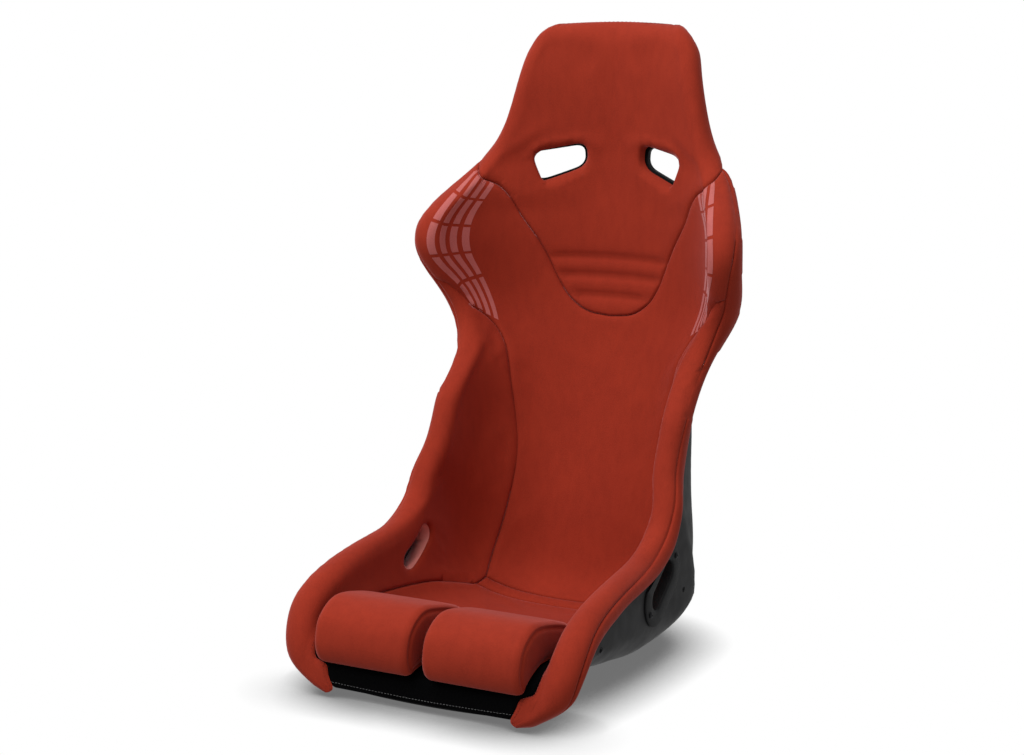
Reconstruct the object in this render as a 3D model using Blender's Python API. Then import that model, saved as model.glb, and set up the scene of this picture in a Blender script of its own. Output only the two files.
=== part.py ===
"""A one-piece racing bucket seat: a thin laminate shell lined with foam pads under cloth, two loose thigh
cushions on hook-and-loop tape, plastic bezels in the belt openings and steel inserts for the side mounts.

Frame: +X is the occupant's left as seen from the front of the seat (the viewer's right), +Y points to the
back of the seat and +Z up. The numbers below are measured from a point on the floor midway between the front
and rear side mounts. Every piece hangs from the empty "datum", which moves them all so that the world's
origin is under the middle of the whole seat.

The shell and its pads are one family of surfaces. Each station below is a cross-section of the seat: a point
on the centre line of the cloth, the direction in which the section rises, and the centre of the padded roll
that covers the shell's edge. A point of the seat is then (s, t): s runs 0 to 100 along the centre line from
the front lip to the back of the head, and t runs from 0 on the centre line to 1 where the padded edge roll
starts and 2 where it ends, facing down the outside.
"""

import bpy
import bmesh
import numpy as np
from math import cos, sin, pi, radians, hypot
from mathutils import Vector
from mathutils.geometry import delaunay_2d_cdt

# Driving dimensions, in metres
DATUM = (0, 0.0762, 0.0015) # the world's origin, measured from the point midway between the side mounts
LAMINATE = 0.005            # thickness of the shell
PAD_GAP = 0.0047            # glue line and insert flanges between the shell and a pad
EDGE_GAP = 0.0026           # the same round the shell's edge, inside the padded roll
SEAM = 0.0013               # half the gap between two neighbouring pads
SIDE_PLANE = 0.220          # the flat outer side of the shell, to the centre plane
MOUNT_SPACING = 0.290       # front to rear side mount
MOUNT_HEIGHT = (0.095, 0.099)   # front and rear side mount above the floor
THREAD_R = 0.0042           # bore of a side insert
INSERT_R = 0.0085           # barrel of a side insert
FLANGE_R = 0.0160           # flange of a side insert
FLANGE = 0.0014             # thickness of that flange
CLEAR = 0.0004              # clearance between two hard parts
SHELL_TOP = 95.6            # where the shell ends at the head, in s
SHELL_SIDE = 0.008          # how far the shell's edge stands above the roll's centre

# name, centre line y and z, rise direction (degrees from up, forwards positive), roll centre x, y and z,
# roll radius, lean of the wall (degrees), fullness, pad thickness on the centre line, and at the roll
STATIONS = (
    ("lip_bottom",  -0.247, 0.006, 90, 0.141, -0.229, 0.006, 0.024, 10, 0.60, 0.007, 0.030),
    ("lip_middle",  -0.247, 0.028, 84, 0.184, -0.228, 0.036, 0.026, 14, 0.60, 0.007, 0.032),
    ("lip_top",     -0.240, 0.046, 60, 0.199, -0.224, 0.062, 0.027, 35, 0.60, 0.007, 0.035),
    ("floor_front", -0.222, 0.055, 35, 0.205, -0.212, 0.088, 0.027, 65, 0.70, 0.007, 0.039),
    ("thigh_front", -0.170, 0.057, 14, 0.206, -0.174, 0.120, 0.027, 84, 0.82, 0.008, 0.047),
    ("thigh_mid",   -0.050, 0.050,  4, 0.204, -0.062, 0.143, 0.026, 90, 0.86, 0.021, 0.049),
    ("thigh_rear",   0.060, 0.042, 10, 0.202,  0.030, 0.152, 0.026, 90, 0.86, 0.035, 0.049),
    ("seat_rear",    0.140, 0.036, 22, 0.202,  0.082, 0.171, 0.026, 90, 0.84, 0.032, 0.058),
    ("crease_low",   0.200, 0.037, 32, 0.202,  0.110, 0.195, 0.025, 90, 0.84, 0.028, 0.060),
    ("crease_high",  0.238, 0.060, 42, 0.201,  0.128, 0.225, 0.024, 90, 0.82, 0.024, 0.040),
    ("lumbar_low",   0.262, 0.130, 56, 0.192,  0.147, 0.264, 0.023, 90, 0.80, 0.020, 0.036),
    ("lumbar",       0.300, 0.250, 74, 0.188,  0.173, 0.322, 0.022, 88, 0.75, 0.018, 0.033),
    ("back_mid",     0.335, 0.355, 84, 0.187,  0.206, 0.366, 0.022, 84, 0.65, 0.016, 0.032),
    ("waist",        0.355, 0.420, 87, 0.191,  0.258, 0.418, 0.023, 78, 0.55, 0.016, 0.032),
    ("wing_low",     0.367, 0.490, 88, 0.221,  0.272, 0.486, 0.025, 74, 0.50, 0.016, 0.036),
    ("wing_mid",     0.371, 0.555, 88, 0.240,  0.228, 0.553, 0.026, 80, 0.50, 0.016, 0.038),
    ("wing_top",     0.372, 0.610, 88, 0.237,  0.232, 0.610, 0.026, 78, 0.50, 0.016, 0.038),
    ("shoulder",     0.374, 0.655, 89, 0.212,  0.280, 0.655, 0.025, 66, 0.45, 0.016, 0.034),
    ("neck_low",     0.375, 0.690, 90, 0.187,  0.320, 0.690, 0.023, 48, 0.40, 0.018, 0.029),
    ("neck",         0.375, 0.725, 90, 0.163,  0.335, 0.725, 0.021, 36, 0.40, 0.021, 0.026),
    ("head_low",     0.374, 0.780, 90, 0.143,  0.345, 0.780, 0.020, 30, 0.40, 0.023, 0.025),
    ("head_mid",     0.374, 0.830, 90, 0.131,  0.353, 0.830, 0.020, 26, 0.40, 0.023, 0.025),
    ("head_high",    0.376, 0.875, 85, 0.120,  0.366, 0.866, 0.021, 22, 0.40, 0.023, 0.025),
    ("head_edge",    0.384, 0.902, 50, 0.106,  0.380, 0.884, 0.022, 15, 0.40, 0.020, 0.025),
    ("head_top",     0.400, 0.910,  0, 0.094,  0.396, 0.888, 0.018,  8, 0.40, 0.011, 0.020),
    ("head_back",    0.414, 0.895, -80, 0.094, 0.404, 0.882, 0.016,  8, 0.40, 0.006, 0.018),
)

# Half outlines in (s, t), from the centre line outwards; the other half mirrors them
SHIELD_SEAM = ((62.7, 0), (63.1, 0.15), (64.4, 0.255), (66.3, 0.315), (69.2, 0.36), (71.8, 0.43),
               (74.7, 0.56), (76.9, 0.73), (78.0, 0.93), (79.4, 1.43), (80.6, 1.85))
BOLSTER_SEAM = ((33.4, 0.42), (37, 0.45), (44, 0.42), (48, 0.44), (52.6, 0.53), (57.4, 0.66), (61.9, 0.82),
                (64.3, 1.04), (66.2, 1.36), (66.9, 1.62))
WING_WELT = ((66.9, 1.62), (68.8, 1.69), (71.3, 1.81), (73.6, 1.89), (75.7, 1.97), (78.0, 1.97), (80.6, 1.85))
BOLSTER_WELT = ((0.4, 1.90), (10, 1.84), (18.5, 1.80), (28, 1.73), (36, 1.74), (45, 1.85), (52.4, 1.91),
                (58.4, 1.83), (61, 1.74), (63.8, 1.62), (66.9, 1.62))
HEM_LINE = ((79.5, 2.18), (76, 2.18), (60, 2.18), (47, 2.18), (41, 2.12), (36, 2.05), (18, 2.05), (13, 2.08),
            (8, 2.07), (0.4, 2.04))
BASE_SEAM = ((0.4, 1.08), (2, 0.84), (4, 0.78), (11, 0.78), (18, 0.74), (25, 0.66), (30, 0.52), (31.6, 0.44))
CREASE_REAR = 33.4          # the back pad starts here, at the seat's crease
CREASE_FRONT = 31.6         # the base pad ends here; a narrow roll fills the crease between them
BASE_FRONT = 13.0           # the base pad starts here, behind the thigh cushions
LIP_EDGE = ((0.8, 0), (0.8, 0.97), (2, 0.815), (4, 0.762), (11, 0.762), (13.0, 0.75), (13.0, 0))
HEAD_TOP = ((81.2, 2.1), (88, 2.1), (94, 2.1), (97.2, 1.95), (99.4, 1.5), (99.7, 1.0), (99.7, 0))
HOOK_STRIP = ((6.4, 0.16), (6.4, 0.44), (12.4, 0.44), (12.4, 0.16))
HARNESS_SLOT = ((82.3, 0.345), (81.2, 0.675), (77.8, 0.48), (80.0, 0.275))
CROTCH_SLOT = ((15.4, 0.13), (17.7, 0.13))     # ends of the strap slot in the floor, s range at half width t
BELT_OPENING = (0.062, 0.129)                   # centre of the side opening on the shell, y and z
BELT_SLOPE = 35                                 # degrees, rising to the rear
BELT_HALF = 0.026                               # half the distance between its round ends
BELT_R = 0.0185                                 # radius of its round ends
BELT_RIM = 0.022                                # how far its bezel's flange reaches outwards
BELT_FLANGE = 0.0024                            # thickness of the flange
BELT_SLEEVE = (0.003, 0.010)                    # wall and length of the bezel's sleeve
BELT_TOP = (0.157, 0.45)                        # the flange's straight top: height at the opening, and rise

# Loose thigh cushion: its side profile in y and z, and its two ends in x
CUSHION_PROFILE = ((-0.240, 0.066), (-0.265, 0.088), (-0.252, 0.121), (-0.214, 0.139), (-0.160, 0.130),
                   (-0.108, 0.112), (-0.083, 0.090), (-0.094, 0.064), (-0.140, 0.058), (-0.200, 0.058))
MOUTH_HEIGHT = 0.066        # the cover is open below this height
CUSHION_X = (0.008, 0.160)
CUSHION_EDGE = 0.020        # rounding at the cushion's ends
CUSHION_LIFT = 0.008        # gap under the cushion
COVER = 0.002               # thickness of the cushion's cover

FABRIC_RED = (0.30, 0.028, 0.018)
COLOURS = {                 # colour, roughness, metallic
    "laminate": ((0.018, 0.018, 0.020), 0.35, 0.0),
    "red_fabric": (FABRIC_RED, 0.95, 0.0),
    "foam": ((0.32, 0.30, 0.24), 1.0, 0.0),
    "black_fabric": ((0.010, 0.010, 0.011), 0.95, 0.0),
    "black_plastic": ((0.012, 0.012, 0.013), 0.45, 0.0),
    "steel": ((0.45, 0.45, 0.46), 0.30, 1.0),
    "black_screw": ((0.03, 0.03, 0.03), 0.35, 0.9),
}


# ---- The seat's surface

def second_derivatives(x, y):
    """Of the natural cubic spline through the points."""
    count, step = len(x), np.diff(x)
    matrix, right = np.eye(count), np.zeros(count)
    for i in range(1, count - 1):
        matrix[i, i - 1:i + 2] = step[i - 1], 2 * (step[i - 1] + step[i]), step[i]
        right[i] = 6 * ((y[i + 1] - y[i]) / step[i] - (y[i] - y[i - 1]) / step[i - 1])
    return np.linalg.solve(matrix, right)


def natural_spline(x, y):
    bend, step = second_derivatives(x, y), np.diff(x)

    def value(q):
        i = np.clip(np.searchsorted(x, q, side="right") - 1, 0, len(x) - 2)
        a, b = (x[i + 1] - q) / step[i], (q - x[i]) / step[i]
        return (a * y[i] + b * y[i + 1]
                + ((a ** 3 - a) * bend[i] + (b ** 3 - b) * bend[i + 1]) * step[i] ** 2 / 6)
    return value


def monotone_spline(x, y):
    """A cubic spline that never overshoots its points."""
    step = np.diff(x)
    rise = np.diff(y) / step
    slope = np.zeros(len(x))
    slope[0], slope[-1] = rise[0], rise[-1]
    for i in range(1, len(x) - 1):
        if rise[i - 1] * rise[i] > 0:
            w1, w2 = 2 * step[i] + step[i - 1], step[i] + 2 * step[i - 1]
            slope[i] = (w1 + w2) / (w1 / rise[i - 1] + w2 / rise[i])

    def value(q):
        i = np.clip(np.searchsorted(x, q, side="right") - 1, 0, len(x) - 2)
        u = (q - x[i]) / step[i]
        return ((1 + 2 * u) * (1 - u) ** 2 * y[i] + u * (1 - u) ** 2 * step[i] * slope[i]
                + u * u * (3 - 2 * u) * y[i + 1] + u * u * (u - 1) * step[i] * slope[i + 1])
    return value


def spaced_knots(rows):
    """The s of each station: 0 to 100, following the centre line, with a little more room at tight bends."""
    gaps = [hypot(b[1] - a[1], b[2] - a[2]) ** 0.75 for a, b in zip(rows, rows[1:])]
    places = np.concatenate([[0], np.cumsum(gaps)])
    return places * 100 / places[-1]


KNOTS = spaced_knots(STATIONS)
SMOOTH = (1, 2, 4, 5, 6)    # the columns that follow a natural spline; the others mustn't overshoot
COLUMNS = [
    (natural_spline if i in SMOOTH else monotone_spline)(KNOTS, np.array([row[i] for row in STATIONS]))
    for i in range(1, 12)
]
SIDE_FLAT_END = KNOTS[11]   # behind this station the shell's sides are no longer flat


def profile(t, centre_x, centre_h, radius, lean, fullness, base):
    """A section's x and rise: a cubic from the centre line to the roll, an arc over it, then straight down."""
    end_x = centre_x - radius * np.sin(lean)
    end_h = centre_h + radius * np.cos(lean)
    reach = (end_h - base) / np.maximum(np.sin(lean), 0.05)
    reach = np.clip(reach, 0, 0.8 * end_x / np.maximum(np.cos(lean), 0.05))
    bend_x, bend_h = end_x - reach * np.cos(lean), end_h - reach * np.sin(lean)
    u = np.clip(t, 0, 1)
    first, second = 3 * u * (1 - u) ** 2, 3 * u * u * (1 - u)
    x = first * fullness * bend_x + second * (end_x + fullness * (bend_x - end_x)) + u ** 3 * end_x
    h = ((1 - u) ** 3 + first) * base + second * (end_h + fullness * (bend_h - end_h)) + u ** 3 * end_h
    turn = lean - np.clip(t - 1, 0, 1) * (lean + pi / 2)
    x = np.where(t > 1, centre_x - radius * np.sin(turn), x)
    h = np.where(t > 1, centre_h + radius * np.cos(turn), h)
    return x, np.where(t > 2, centre_h - (t - 2) * 0.1, h)


def surface(s, t, depth=None):
    """Points of the cloth, or, with a depth, of a skin that far from the shell's mid-surface (inside positive)."""
    s, t = np.broadcast_arrays(np.asarray(s, float), np.asarray(t, float))
    y, z, rise, w, roll_y, roll_z, radius, lean, full, pad, pad_edge = [column(s) for column in COLUMNS]
    rise, lean = np.radians(rise), np.radians(lean)
    roll_h = (y - roll_y) * np.sin(rise) + (roll_z - z) * np.cos(rise)
    shear = (roll_y - y) * np.cos(rise) + (roll_z - z) * np.sin(rise)
    side = np.abs(t)
    if depth is None:
        x, h = profile(side, w, roll_h, radius, lean, full, 0)
    else:
        away = pad_edge - radius
        edge_x = w + away * np.sin(lean) + SHELL_SIDE * np.cos(lean)
        edge_h = roll_h - away * np.cos(lean) + SHELL_SIDE * np.sin(lean)
        flat = np.where(s < SIDE_FLAT_END, SIDE_PLANE - LAMINATE / 2, 1.0)
        centre_x = np.where(side > 1, np.minimum(edge_x, flat), edge_x)
        x, h = profile(side, centre_x, edge_h, depth, lean, full, depth - pad - LAMINATE / 2)
        x = np.where(side > 1, x, np.minimum(x, flat - depth))
    across = shear * np.clip(x / w, 0, 1) ** 2
    point_y = y - h * np.sin(rise) + across * np.cos(rise)
    point_z = z + h * np.cos(rise) + across * np.sin(rise)
    if depth is not None:
        point_z = np.where(s < SIDE_FLAT_END, np.maximum(point_z, depth + LAMINATE / 2), point_z)
    return np.stack([np.where(t < 0, -x, x), point_y, point_z], -1)


def cloth(s, t):
    return surface(s, t)


def pad_back(s, t):
    over = np.clip(np.abs(t) - 1, 0, 0.5) * 2
    return surface(s, t, LAMINATE / 2 + PAD_GAP + (EDGE_GAP - PAD_GAP) * over)


def shell_inside(s, t):
    return surface(s, t, LAMINATE / 2)


def shell_outside(s, t):
    return surface(s, t, -LAMINATE / 2)


# ---- Outlines in (s, t)

def stretch(skin, s, t):
    """Metres per unit of s and of t at a place on a skin."""
    ds, dt = 0.2, 0.01
    along = (skin(s + ds, t) - skin(s - ds, t)) / (2 * ds)
    across = (skin(s, t + dt) - skin(s, t - dt)) / (2 * dt)
    return np.linalg.norm(along, axis=-1), np.linalg.norm(across, axis=-1)


def divided(loop, skin, step):
    """The closed outline with its edges split until none is longer than step on the skin."""
    points = []
    for a, b in zip(loop, loop[1:] + loop[:1]):
        a, b = np.array(a, float), np.array(b, float)
        middle = (a + b) / 2
        along, across = stretch(skin, middle[0], middle[1])
        length = hypot((b[0] - a[0]) * along, (b[1] - a[1]) * across)
        parts = max(1, int(np.ceil(length / step)))
        points += [a + (b - a) * i / parts for i in range(parts)]
    return np.array(points)


def moved(points, skin, distance):
    """The closed outline moved inwards (positive) or outwards by a distance in metres, measured on the skin."""
    along, across = stretch(skin, points[:, 0], points[:, 1])
    scale = np.stack([along, across], -1)
    after, before = np.roll(points, -1, 0), np.roll(points, 1, 0)
    turns = np.sum(points[:, 0] * after[:, 1] - after[:, 0] * points[:, 1])
    out = np.zeros_like(points)
    for near, far in ((before, points), (points, after)):
        edge = (far - near) * scale
        edge /= np.linalg.norm(edge, axis=1)[:, None]
        out += np.stack([-edge[:, 1], edge[:, 0]], -1)
    size = np.linalg.norm(out, axis=1)
    out /= size[:, None] * np.maximum(size[:, None] / 2, 0.5)
    return points + np.sign(turns) * out / scale * distance


def both_halves(half):
    """A closed outline from its right half, which starts and ends on the centre line."""
    return list(half) + [(s, -t) for s, t in reversed(half) if t > 0]


def inside(points, loop):
    """Which points lie in a closed outline."""
    found = np.zeros(len(points), bool)
    for (s0, t0), (s1, t1) in zip(loop, np.roll(loop, -1, 0)):
        if t0 == t1:
            continue
        crosses = (t0 > points[:, 1]) != (t1 > points[:, 1])
        found ^= crosses & (points[:, 0] < (s1 - s0) * (points[:, 1] - t0) / (t1 - t0) + s0)
    return found


def clear_of(points, loop, skin, margin):
    """Which points are at least a margin, in metres, away from an outline."""
    keep = np.ones(len(points), bool)
    along, across = stretch(skin, points[:, 0], points[:, 1])
    for a, b in zip(loop, np.roll(loop, -1, 0)):
        edge = np.stack([(b[0] - a[0]) * along, (b[1] - a[1]) * across], -1)
        to = np.stack([(points[:, 0] - a[0]) * along, (points[:, 1] - a[1]) * across], -1)
        share = np.clip((to * edge).sum(1) / np.maximum((edge ** 2).sum(1), 1e-12), 0, 1)
        keep &= np.linalg.norm(to - edge * share[:, None], axis=1) > margin
    return keep


# ---- Objects

S_STEP = 2.7
TIGHT_BENDS = ((0, 8), (29, 40), (68, 78), (91, 100))    # s ranges whose grid is twice as fine
S_LINES = [k * S_STEP / 2 for k in range(int(200 / S_STEP) + 1)
           if k % 2 == 0 or any(low < k * S_STEP / 2 < high for low, high in TIGHT_BENDS)]
T_LINES = (0, 0.18, 0.33, 0.46, 0.58, 0.69, 0.79, 0.88, 1, 1.25, 1.5, 1.75, 2)


def material(name):
    found = bpy.data.materials.get(name)
    if found:
        return found
    colour, roughness, metallic = COLOURS[name]
    made = bpy.data.materials.new(name)
    made.use_nodes = True
    shader = made.node_tree.nodes["Principled BSDF"]
    shader.inputs["Base Color"].default_value = (*colour, 1)
    shader.inputs["Roughness"].default_value = roughness
    shader.inputs["Metallic"].default_value = metallic
    return made


def datum():
    """The empty that carries every piece, so that the world's origin is under the middle of the seat."""
    found = bpy.data.objects.get("datum")
    if found is None:
        found = bpy.data.objects.new("datum", None)
        found.location = [-value for value in DATUM]
        bpy.context.scene.collection.objects.link(found)
    return found


def add_object(name, points, faces, finish):
    mesh = bpy.data.meshes.new(name)
    mesh.from_pydata([tuple(map(float, p)) for p in points], [], faces)
    shape = bmesh.new()
    shape.from_mesh(mesh)
    if shape.calc_volume(signed=True) < 0:
        bmesh.ops.reverse_faces(shape, faces=shape.faces)
    shape.to_mesh(mesh)
    shape.free()
    mesh.materials.append(material(finish))
    mesh.shade_smooth()
    mesh.set_sharp_from_angle(angle=radians(40))
    made = bpy.data.objects.new(name, mesh)
    made.parent = datum()
    bpy.context.scene.collection.objects.link(made)
    return made


def triangulated(loops, skin):
    """(s, t) points and triangles that fill the first loop, leaving out the others."""
    grid = np.array([(s, side * t) for s in S_LINES for t in T_LINES for side in (-1, 1) if t or side > 0])
    grid = grid[inside(grid, loops[0])]
    for loop in loops:
        grid = grid[clear_of(grid, loop, skin, 0.011)]
    for loop in loops[1:]:
        grid = grid[~inside(grid, loop)]
    points, edges = [], []
    for loop in loops:
        start = len(points)
        points += list(loop)
        edges += [(start + i, start + (i + 1) % len(loop)) for i in range(len(loop))]
    points += list(grid)
    scale = (0.0145, 0.2)
    flat = [Vector((s * scale[0], t * scale[1])) for s, t in points]
    found, _, faces, _, _, _ = delaunay_2d_cdt(flat, edges, [], 1, 1e-7)
    found = np.array([(v.x / scale[0], v.y / scale[1]) for v in found])
    middles = np.array([found[list(face)].mean(0) for face in faces])
    keep = inside(middles, loops[0])
    for loop in loops[1:]:
        keep &= ~inside(middles, loop)
    return found, [face for face, kept in zip(faces, keep) if kept]


def between(name, loops, front, back, finish):
    """A closed solid that fills the outlines between two skins."""
    flat, faces = triangulated(loops, front)
    count = len(flat)
    points = np.concatenate([front(flat[:, 0], flat[:, 1]), back(flat[:, 0], flat[:, 1])])
    uses = {}
    for face in faces:
        for a, b in zip(face, face[1:] + face[:1]):
            uses[(a, b)] = uses.get((a, b), 0) + 1
    walls = []
    for a, b in uses:
        if (b, a) in uses:
            continue
        if flat[a][0] + 10 * flat[a][1] < flat[b][0] + 10 * flat[b][1]:
            walls += [(b, a, a + count), (b, a + count, b + count)]
        else:
            walls += [(b, a, b + count), (a, a + count, b + count)]
    back_faces = [tuple(reversed([i + count for i in face])) for face in faces]
    return add_object(name, points, [tuple(face) for face in faces] + back_faces + walls, finish)


def pad(name, loop, holes=(), finish="red_fabric"):
    """A pad between the shell and the cloth, a seam's width inside its outline."""
    loops = [moved(divided(loop, cloth, 0.022), cloth, SEAM)]
    loops += [moved(divided(hole, cloth, 0.015), cloth, -0.003) for hole in holes]
    return between(name, loops, cloth, pad_back, finish)


def mirrored(loop, side):
    return [(s, t * side) for s, t in loop]


def rounded(loop, skin, radius, parts=3):
    """The outline with each corner replaced by a short arc, in (s, t)."""
    out = []
    for i, corner in enumerate(loop):
        corner = np.array(corner, float)
        along, across = stretch(skin, corner[0], corner[1])
        scale = np.array([along, across])
        ends = []
        for other in (loop[i - 1], loop[(i + 1) % len(loop)]):
            way = (np.array(other) - corner) * scale
            ends.append(corner + way / np.linalg.norm(way) * radius / scale)
        for k in range(parts + 1):
            u = k / parts
            out.append(tuple((1 - u) ** 2 * ends[0] + 2 * u * (1 - u) * corner + u * u * ends[1]))
    return out


def place_on(skin, y, z):
    """The (s, t) of the skin's point at a y and a z, on the right side's wall."""
    s, t = 24.0, 0.85
    for _ in range(40):
        here = skin(s, t)
        ds, dt = (skin(s + 0.05, t) - here)[1:] / 0.05, (skin(s, t + 0.002) - here)[1:] / 0.002
        s_move, t_move = np.linalg.solve(np.array([ds, dt]).T, np.array([y, z]) - here[1:])
        s += float(np.clip(s_move, -3, 3))
        t = float(np.clip(t + np.clip(t_move, -0.1, 0.1), 0.05, 1))
    return s, t


def stadium(centre, slope, half, radius, parts=5):
    """The outline of a slot with round ends, in a plane."""
    way = (cos(radians(slope)), sin(radians(slope)))
    points = []
    for end in (1, -1):
        for k in range(parts + 1):
            turn = radians(slope) + (pi / 2 if end < 0 else -pi / 2) + pi * k / parts
            points.append((centre[0] + end * half * way[0] + radius * cos(turn),
                           centre[1] + end * half * way[1] + radius * sin(turn)))
    return points


# ---- The shell and what is cut into it

BELT_PLACES = [place_on(shell_outside, y, z) for y, z in stadium(BELT_OPENING, BELT_SLOPE, BELT_HALF, BELT_R)]
HARNESS_LOOP = rounded(list(HARNESS_SLOT), shell_inside, 0.014)
CROTCH_LOOP = rounded(
    [(s, side * t) for (s, t), side in zip((*CROTCH_SLOT, *reversed(CROTCH_SLOT)), (1, 1, -1, -1))],
    shell_inside, 0.008,
)
BELT_AXIS = (cos(radians(BELT_SLOPE)), sin(radians(BELT_SLOPE)))
SCREW_REACH = BELT_HALF + BELT_R + 0.011
SCREW_PLACES = [(BELT_OPENING[0] + end * SCREW_REACH * BELT_AXIS[0],
                 BELT_OPENING[1] + end * SCREW_REACH * BELT_AXIS[1]) for end in (-1, 1)]
MOUNT_PLACES = {"front": (-MOUNT_SPACING / 2, MOUNT_HEIGHT[0]), "rear": (MOUNT_SPACING / 2, MOUNT_HEIGHT[1])}


def turned(name, outline, place, side, finish, parts=20):
    """A solid turned about a line along X through place (y, z); outline holds (distance out in x, radius)."""
    points, faces = [], []
    for out, radius in outline:
        for k in range(parts):
            turn = 2 * pi * k / parts
            points.append((side * out, place[0] + radius * cos(turn), place[1] + radius * sin(turn)))
    rings = len(outline)
    for ring in range(rings):
        for k in range(parts):
            a, b = ring * parts + k, ring * parts + (k + 1) % parts
            c, d = ((ring + 1) % rings) * parts + k, ((ring + 1) % rings) * parts + (k + 1) % parts
            faces.append((a, b, d, c))
    return add_object(name, points, faces, finish)


def peg(name, outline, place, side, finish, parts=16):
    """A solid of revolution with no bore: the outline's ends are closed by flat caps."""
    points, faces = [], []
    for out, radius in outline:
        for k in range(parts):
            turn = 2 * pi * k / parts
            points.append((side * out, place[0] + radius * cos(turn), place[1] + radius * sin(turn)))
    for ring in range(len(outline) - 1):
        for k in range(parts):
            a, b = ring * parts + k, ring * parts + (k + 1) % parts
            faces.append((a, b, b + parts, a + parts))
    faces.append(tuple(reversed(range(parts))))
    faces.append(tuple(range(len(points) - parts, len(points))))
    return add_object(name, points, faces, finish)


def prism(outline, side, reach=(0.200, 0.240)):
    """An outline in y and z, extruded along X."""
    points = [(side * x, y, z) for x in reach for y, z in outline]
    count = len(outline)
    faces = [(k, (k + 1) % count, (k + 1) % count + count, k + count) for k in range(count)]
    faces += [tuple(reversed(range(count))), tuple(range(count, 2 * count))]
    return add_object("cutter", points, faces, "steel")


def cut(target, cutter):
    """Takes one object's shape out of another, and hides the first."""
    cutter.name = f"cutter_{target.name}_{len(target.modifiers)}"
    cutter.hide_render = True
    cutter.display_type = "WIRE"
    step = target.modifiers.new("cut", "BOOLEAN")
    step.operation, step.solver, step.object = "DIFFERENCE", "EXACT", cutter


def bore(target, place, radius, side, reach=(0.200, 0.240)):
    """Cuts a round hole along X into an object."""
    cut(target, peg("cutter", [(reach[0], radius), (reach[1], radius)], place, side, "steel", parts=20))


def shell():
    outline = both_halves(((0.5, 0), (0.5, 1), *((s, 1) for s in range(2, 94, 2)), (SHELL_TOP, 1), (SHELL_TOP, 0)))
    loops = [divided(outline, shell_inside, 0.04)]
    for side in (-1, 1):
        loops.append(np.array(mirrored(HARNESS_LOOP, side)))
    loops.append(np.array(CROTCH_LOOP))
    made = between("shell", loops, shell_inside, shell_outside, "laminate")
    for side in (-1, 1):
        cut(made, prism(stadium(BELT_OPENING, BELT_SLOPE, BELT_HALF, BELT_R), side))
        for place in MOUNT_PLACES.values():
            bore(made, place, INSERT_R + CLEAR, side)
            bore(made, place, FLANGE_R + CLEAR, side, (0.190, SIDE_PLANE - LAMINATE))
        for place in SCREW_PLACES:
            bore(made, place, 0.0025, side)


def side_inserts():
    inside_x = SIDE_PLANE - LAMINATE - CLEAR
    outline = ((SIDE_PLANE, THREAD_R), (SIDE_PLANE, INSERT_R), (inside_x, INSERT_R), (inside_x, FLANGE_R),
               (inside_x - FLANGE, FLANGE_R), (inside_x - FLANGE, THREAD_R))
    for side, word in ((-1, "left"), (1, "right")):
        for end, place in MOUNT_PLACES.items():
            turned(f"side_insert_{end}_{word}", outline, place, side, "steel")


def hoop(name, rows, finish):
    """A closed hoop from rows of points: each row runs round the opening, and the rows go round the section."""
    rows_count, count = rows.shape[:2]
    faces = []
    for r in range(rows_count):
        for k in range(count):
            after, below = (k + 1) % count, (r + 1) % rows_count
            faces.append((r * count + k, r * count + after, below * count + after, below * count + k))
    return add_object(name, rows.reshape(-1, 3), faces, finish)


def ring(name, loop, section, finish):
    """A bezel: its section, points of (outwards from the opening, depth), swept round an opening's outline."""
    loop = np.array(loop)
    rows = []
    for outwards, depth in section:
        places = moved(loop, shell_inside, -outwards)
        rows.append(surface(places[:, 0], places[:, 1], depth))
    return hoop(name, np.array(rows), finish)


def bezel_section(flange, thickness, wall, reach):
    """A sleeve through the shell with a flange on the outside."""
    face = -LAMINATE / 2 - CLEAR
    return ((-wall, reach), (-CLEAR, reach), (-CLEAR, face), (flange, face),
            (flange, face - thickness * 0.6), (flange - 0.002, face - thickness), (-wall, face - thickness))


def belt_bezel(word, side):
    """The same for the side opening, where the shell is flat: a flat flange and a straight sleeve."""
    face, top = SIDE_PLANE + CLEAR, SIDE_PLANE + CLEAR + BELT_FLANGE
    wall, end = BELT_SLEEVE[0], face - BELT_SLEEVE[1]
    section = ((-wall, end), (-CLEAR, end), (-CLEAR, face), (BELT_RIM, face), (BELT_RIM, top - 0.0008),
               (BELT_RIM - 0.002, top), (0, top), (-wall, top - 0.002))
    rows = [[(side * x, y, min(z, BELT_TOP[0] + outwards / 22 + BELT_TOP[1] * (y - BELT_OPENING[0])))
             for y, z in stadium(BELT_OPENING, BELT_SLOPE, BELT_HALF, BELT_R + outwards)]
            for outwards, x in section]
    return hoop(f"belt_bezel_{word}", np.array(rows), "black_plastic")


def bezels():
    for side, word in ((-1, "left"), (1, "right")):
        ring(f"harness_bezel_{word}", mirrored(HARNESS_LOOP, side), bezel_section(0.007, 0.002, 0.0025, 0.012),
             "black_plastic")
        made = belt_bezel(word, side)
        top = SIDE_PLANE + CLEAR + BELT_FLANGE + CLEAR
        for end, place in zip(("front", "rear"), SCREW_PLACES):
            bore(made, place, 0.0025, side)
            peg(f"bezel_screw_{end}_{word}", ((top + 0.0022, 0.0030), (top + 0.0014, 0.0045), (top, 0.0045),
                                             (top, 0.0020), (SIDE_PLANE - LAMINATE - 0.001, 0.0020)),
                place, side, "black_screw")
    ring("crotch_bezel", CROTCH_LOOP, bezel_section(0.007, 0.0, 0.0025, 0.008)[:3] + ((-0.0025, -LAMINATE / 2),),
         "black_plastic")


# ---- Pads

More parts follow.
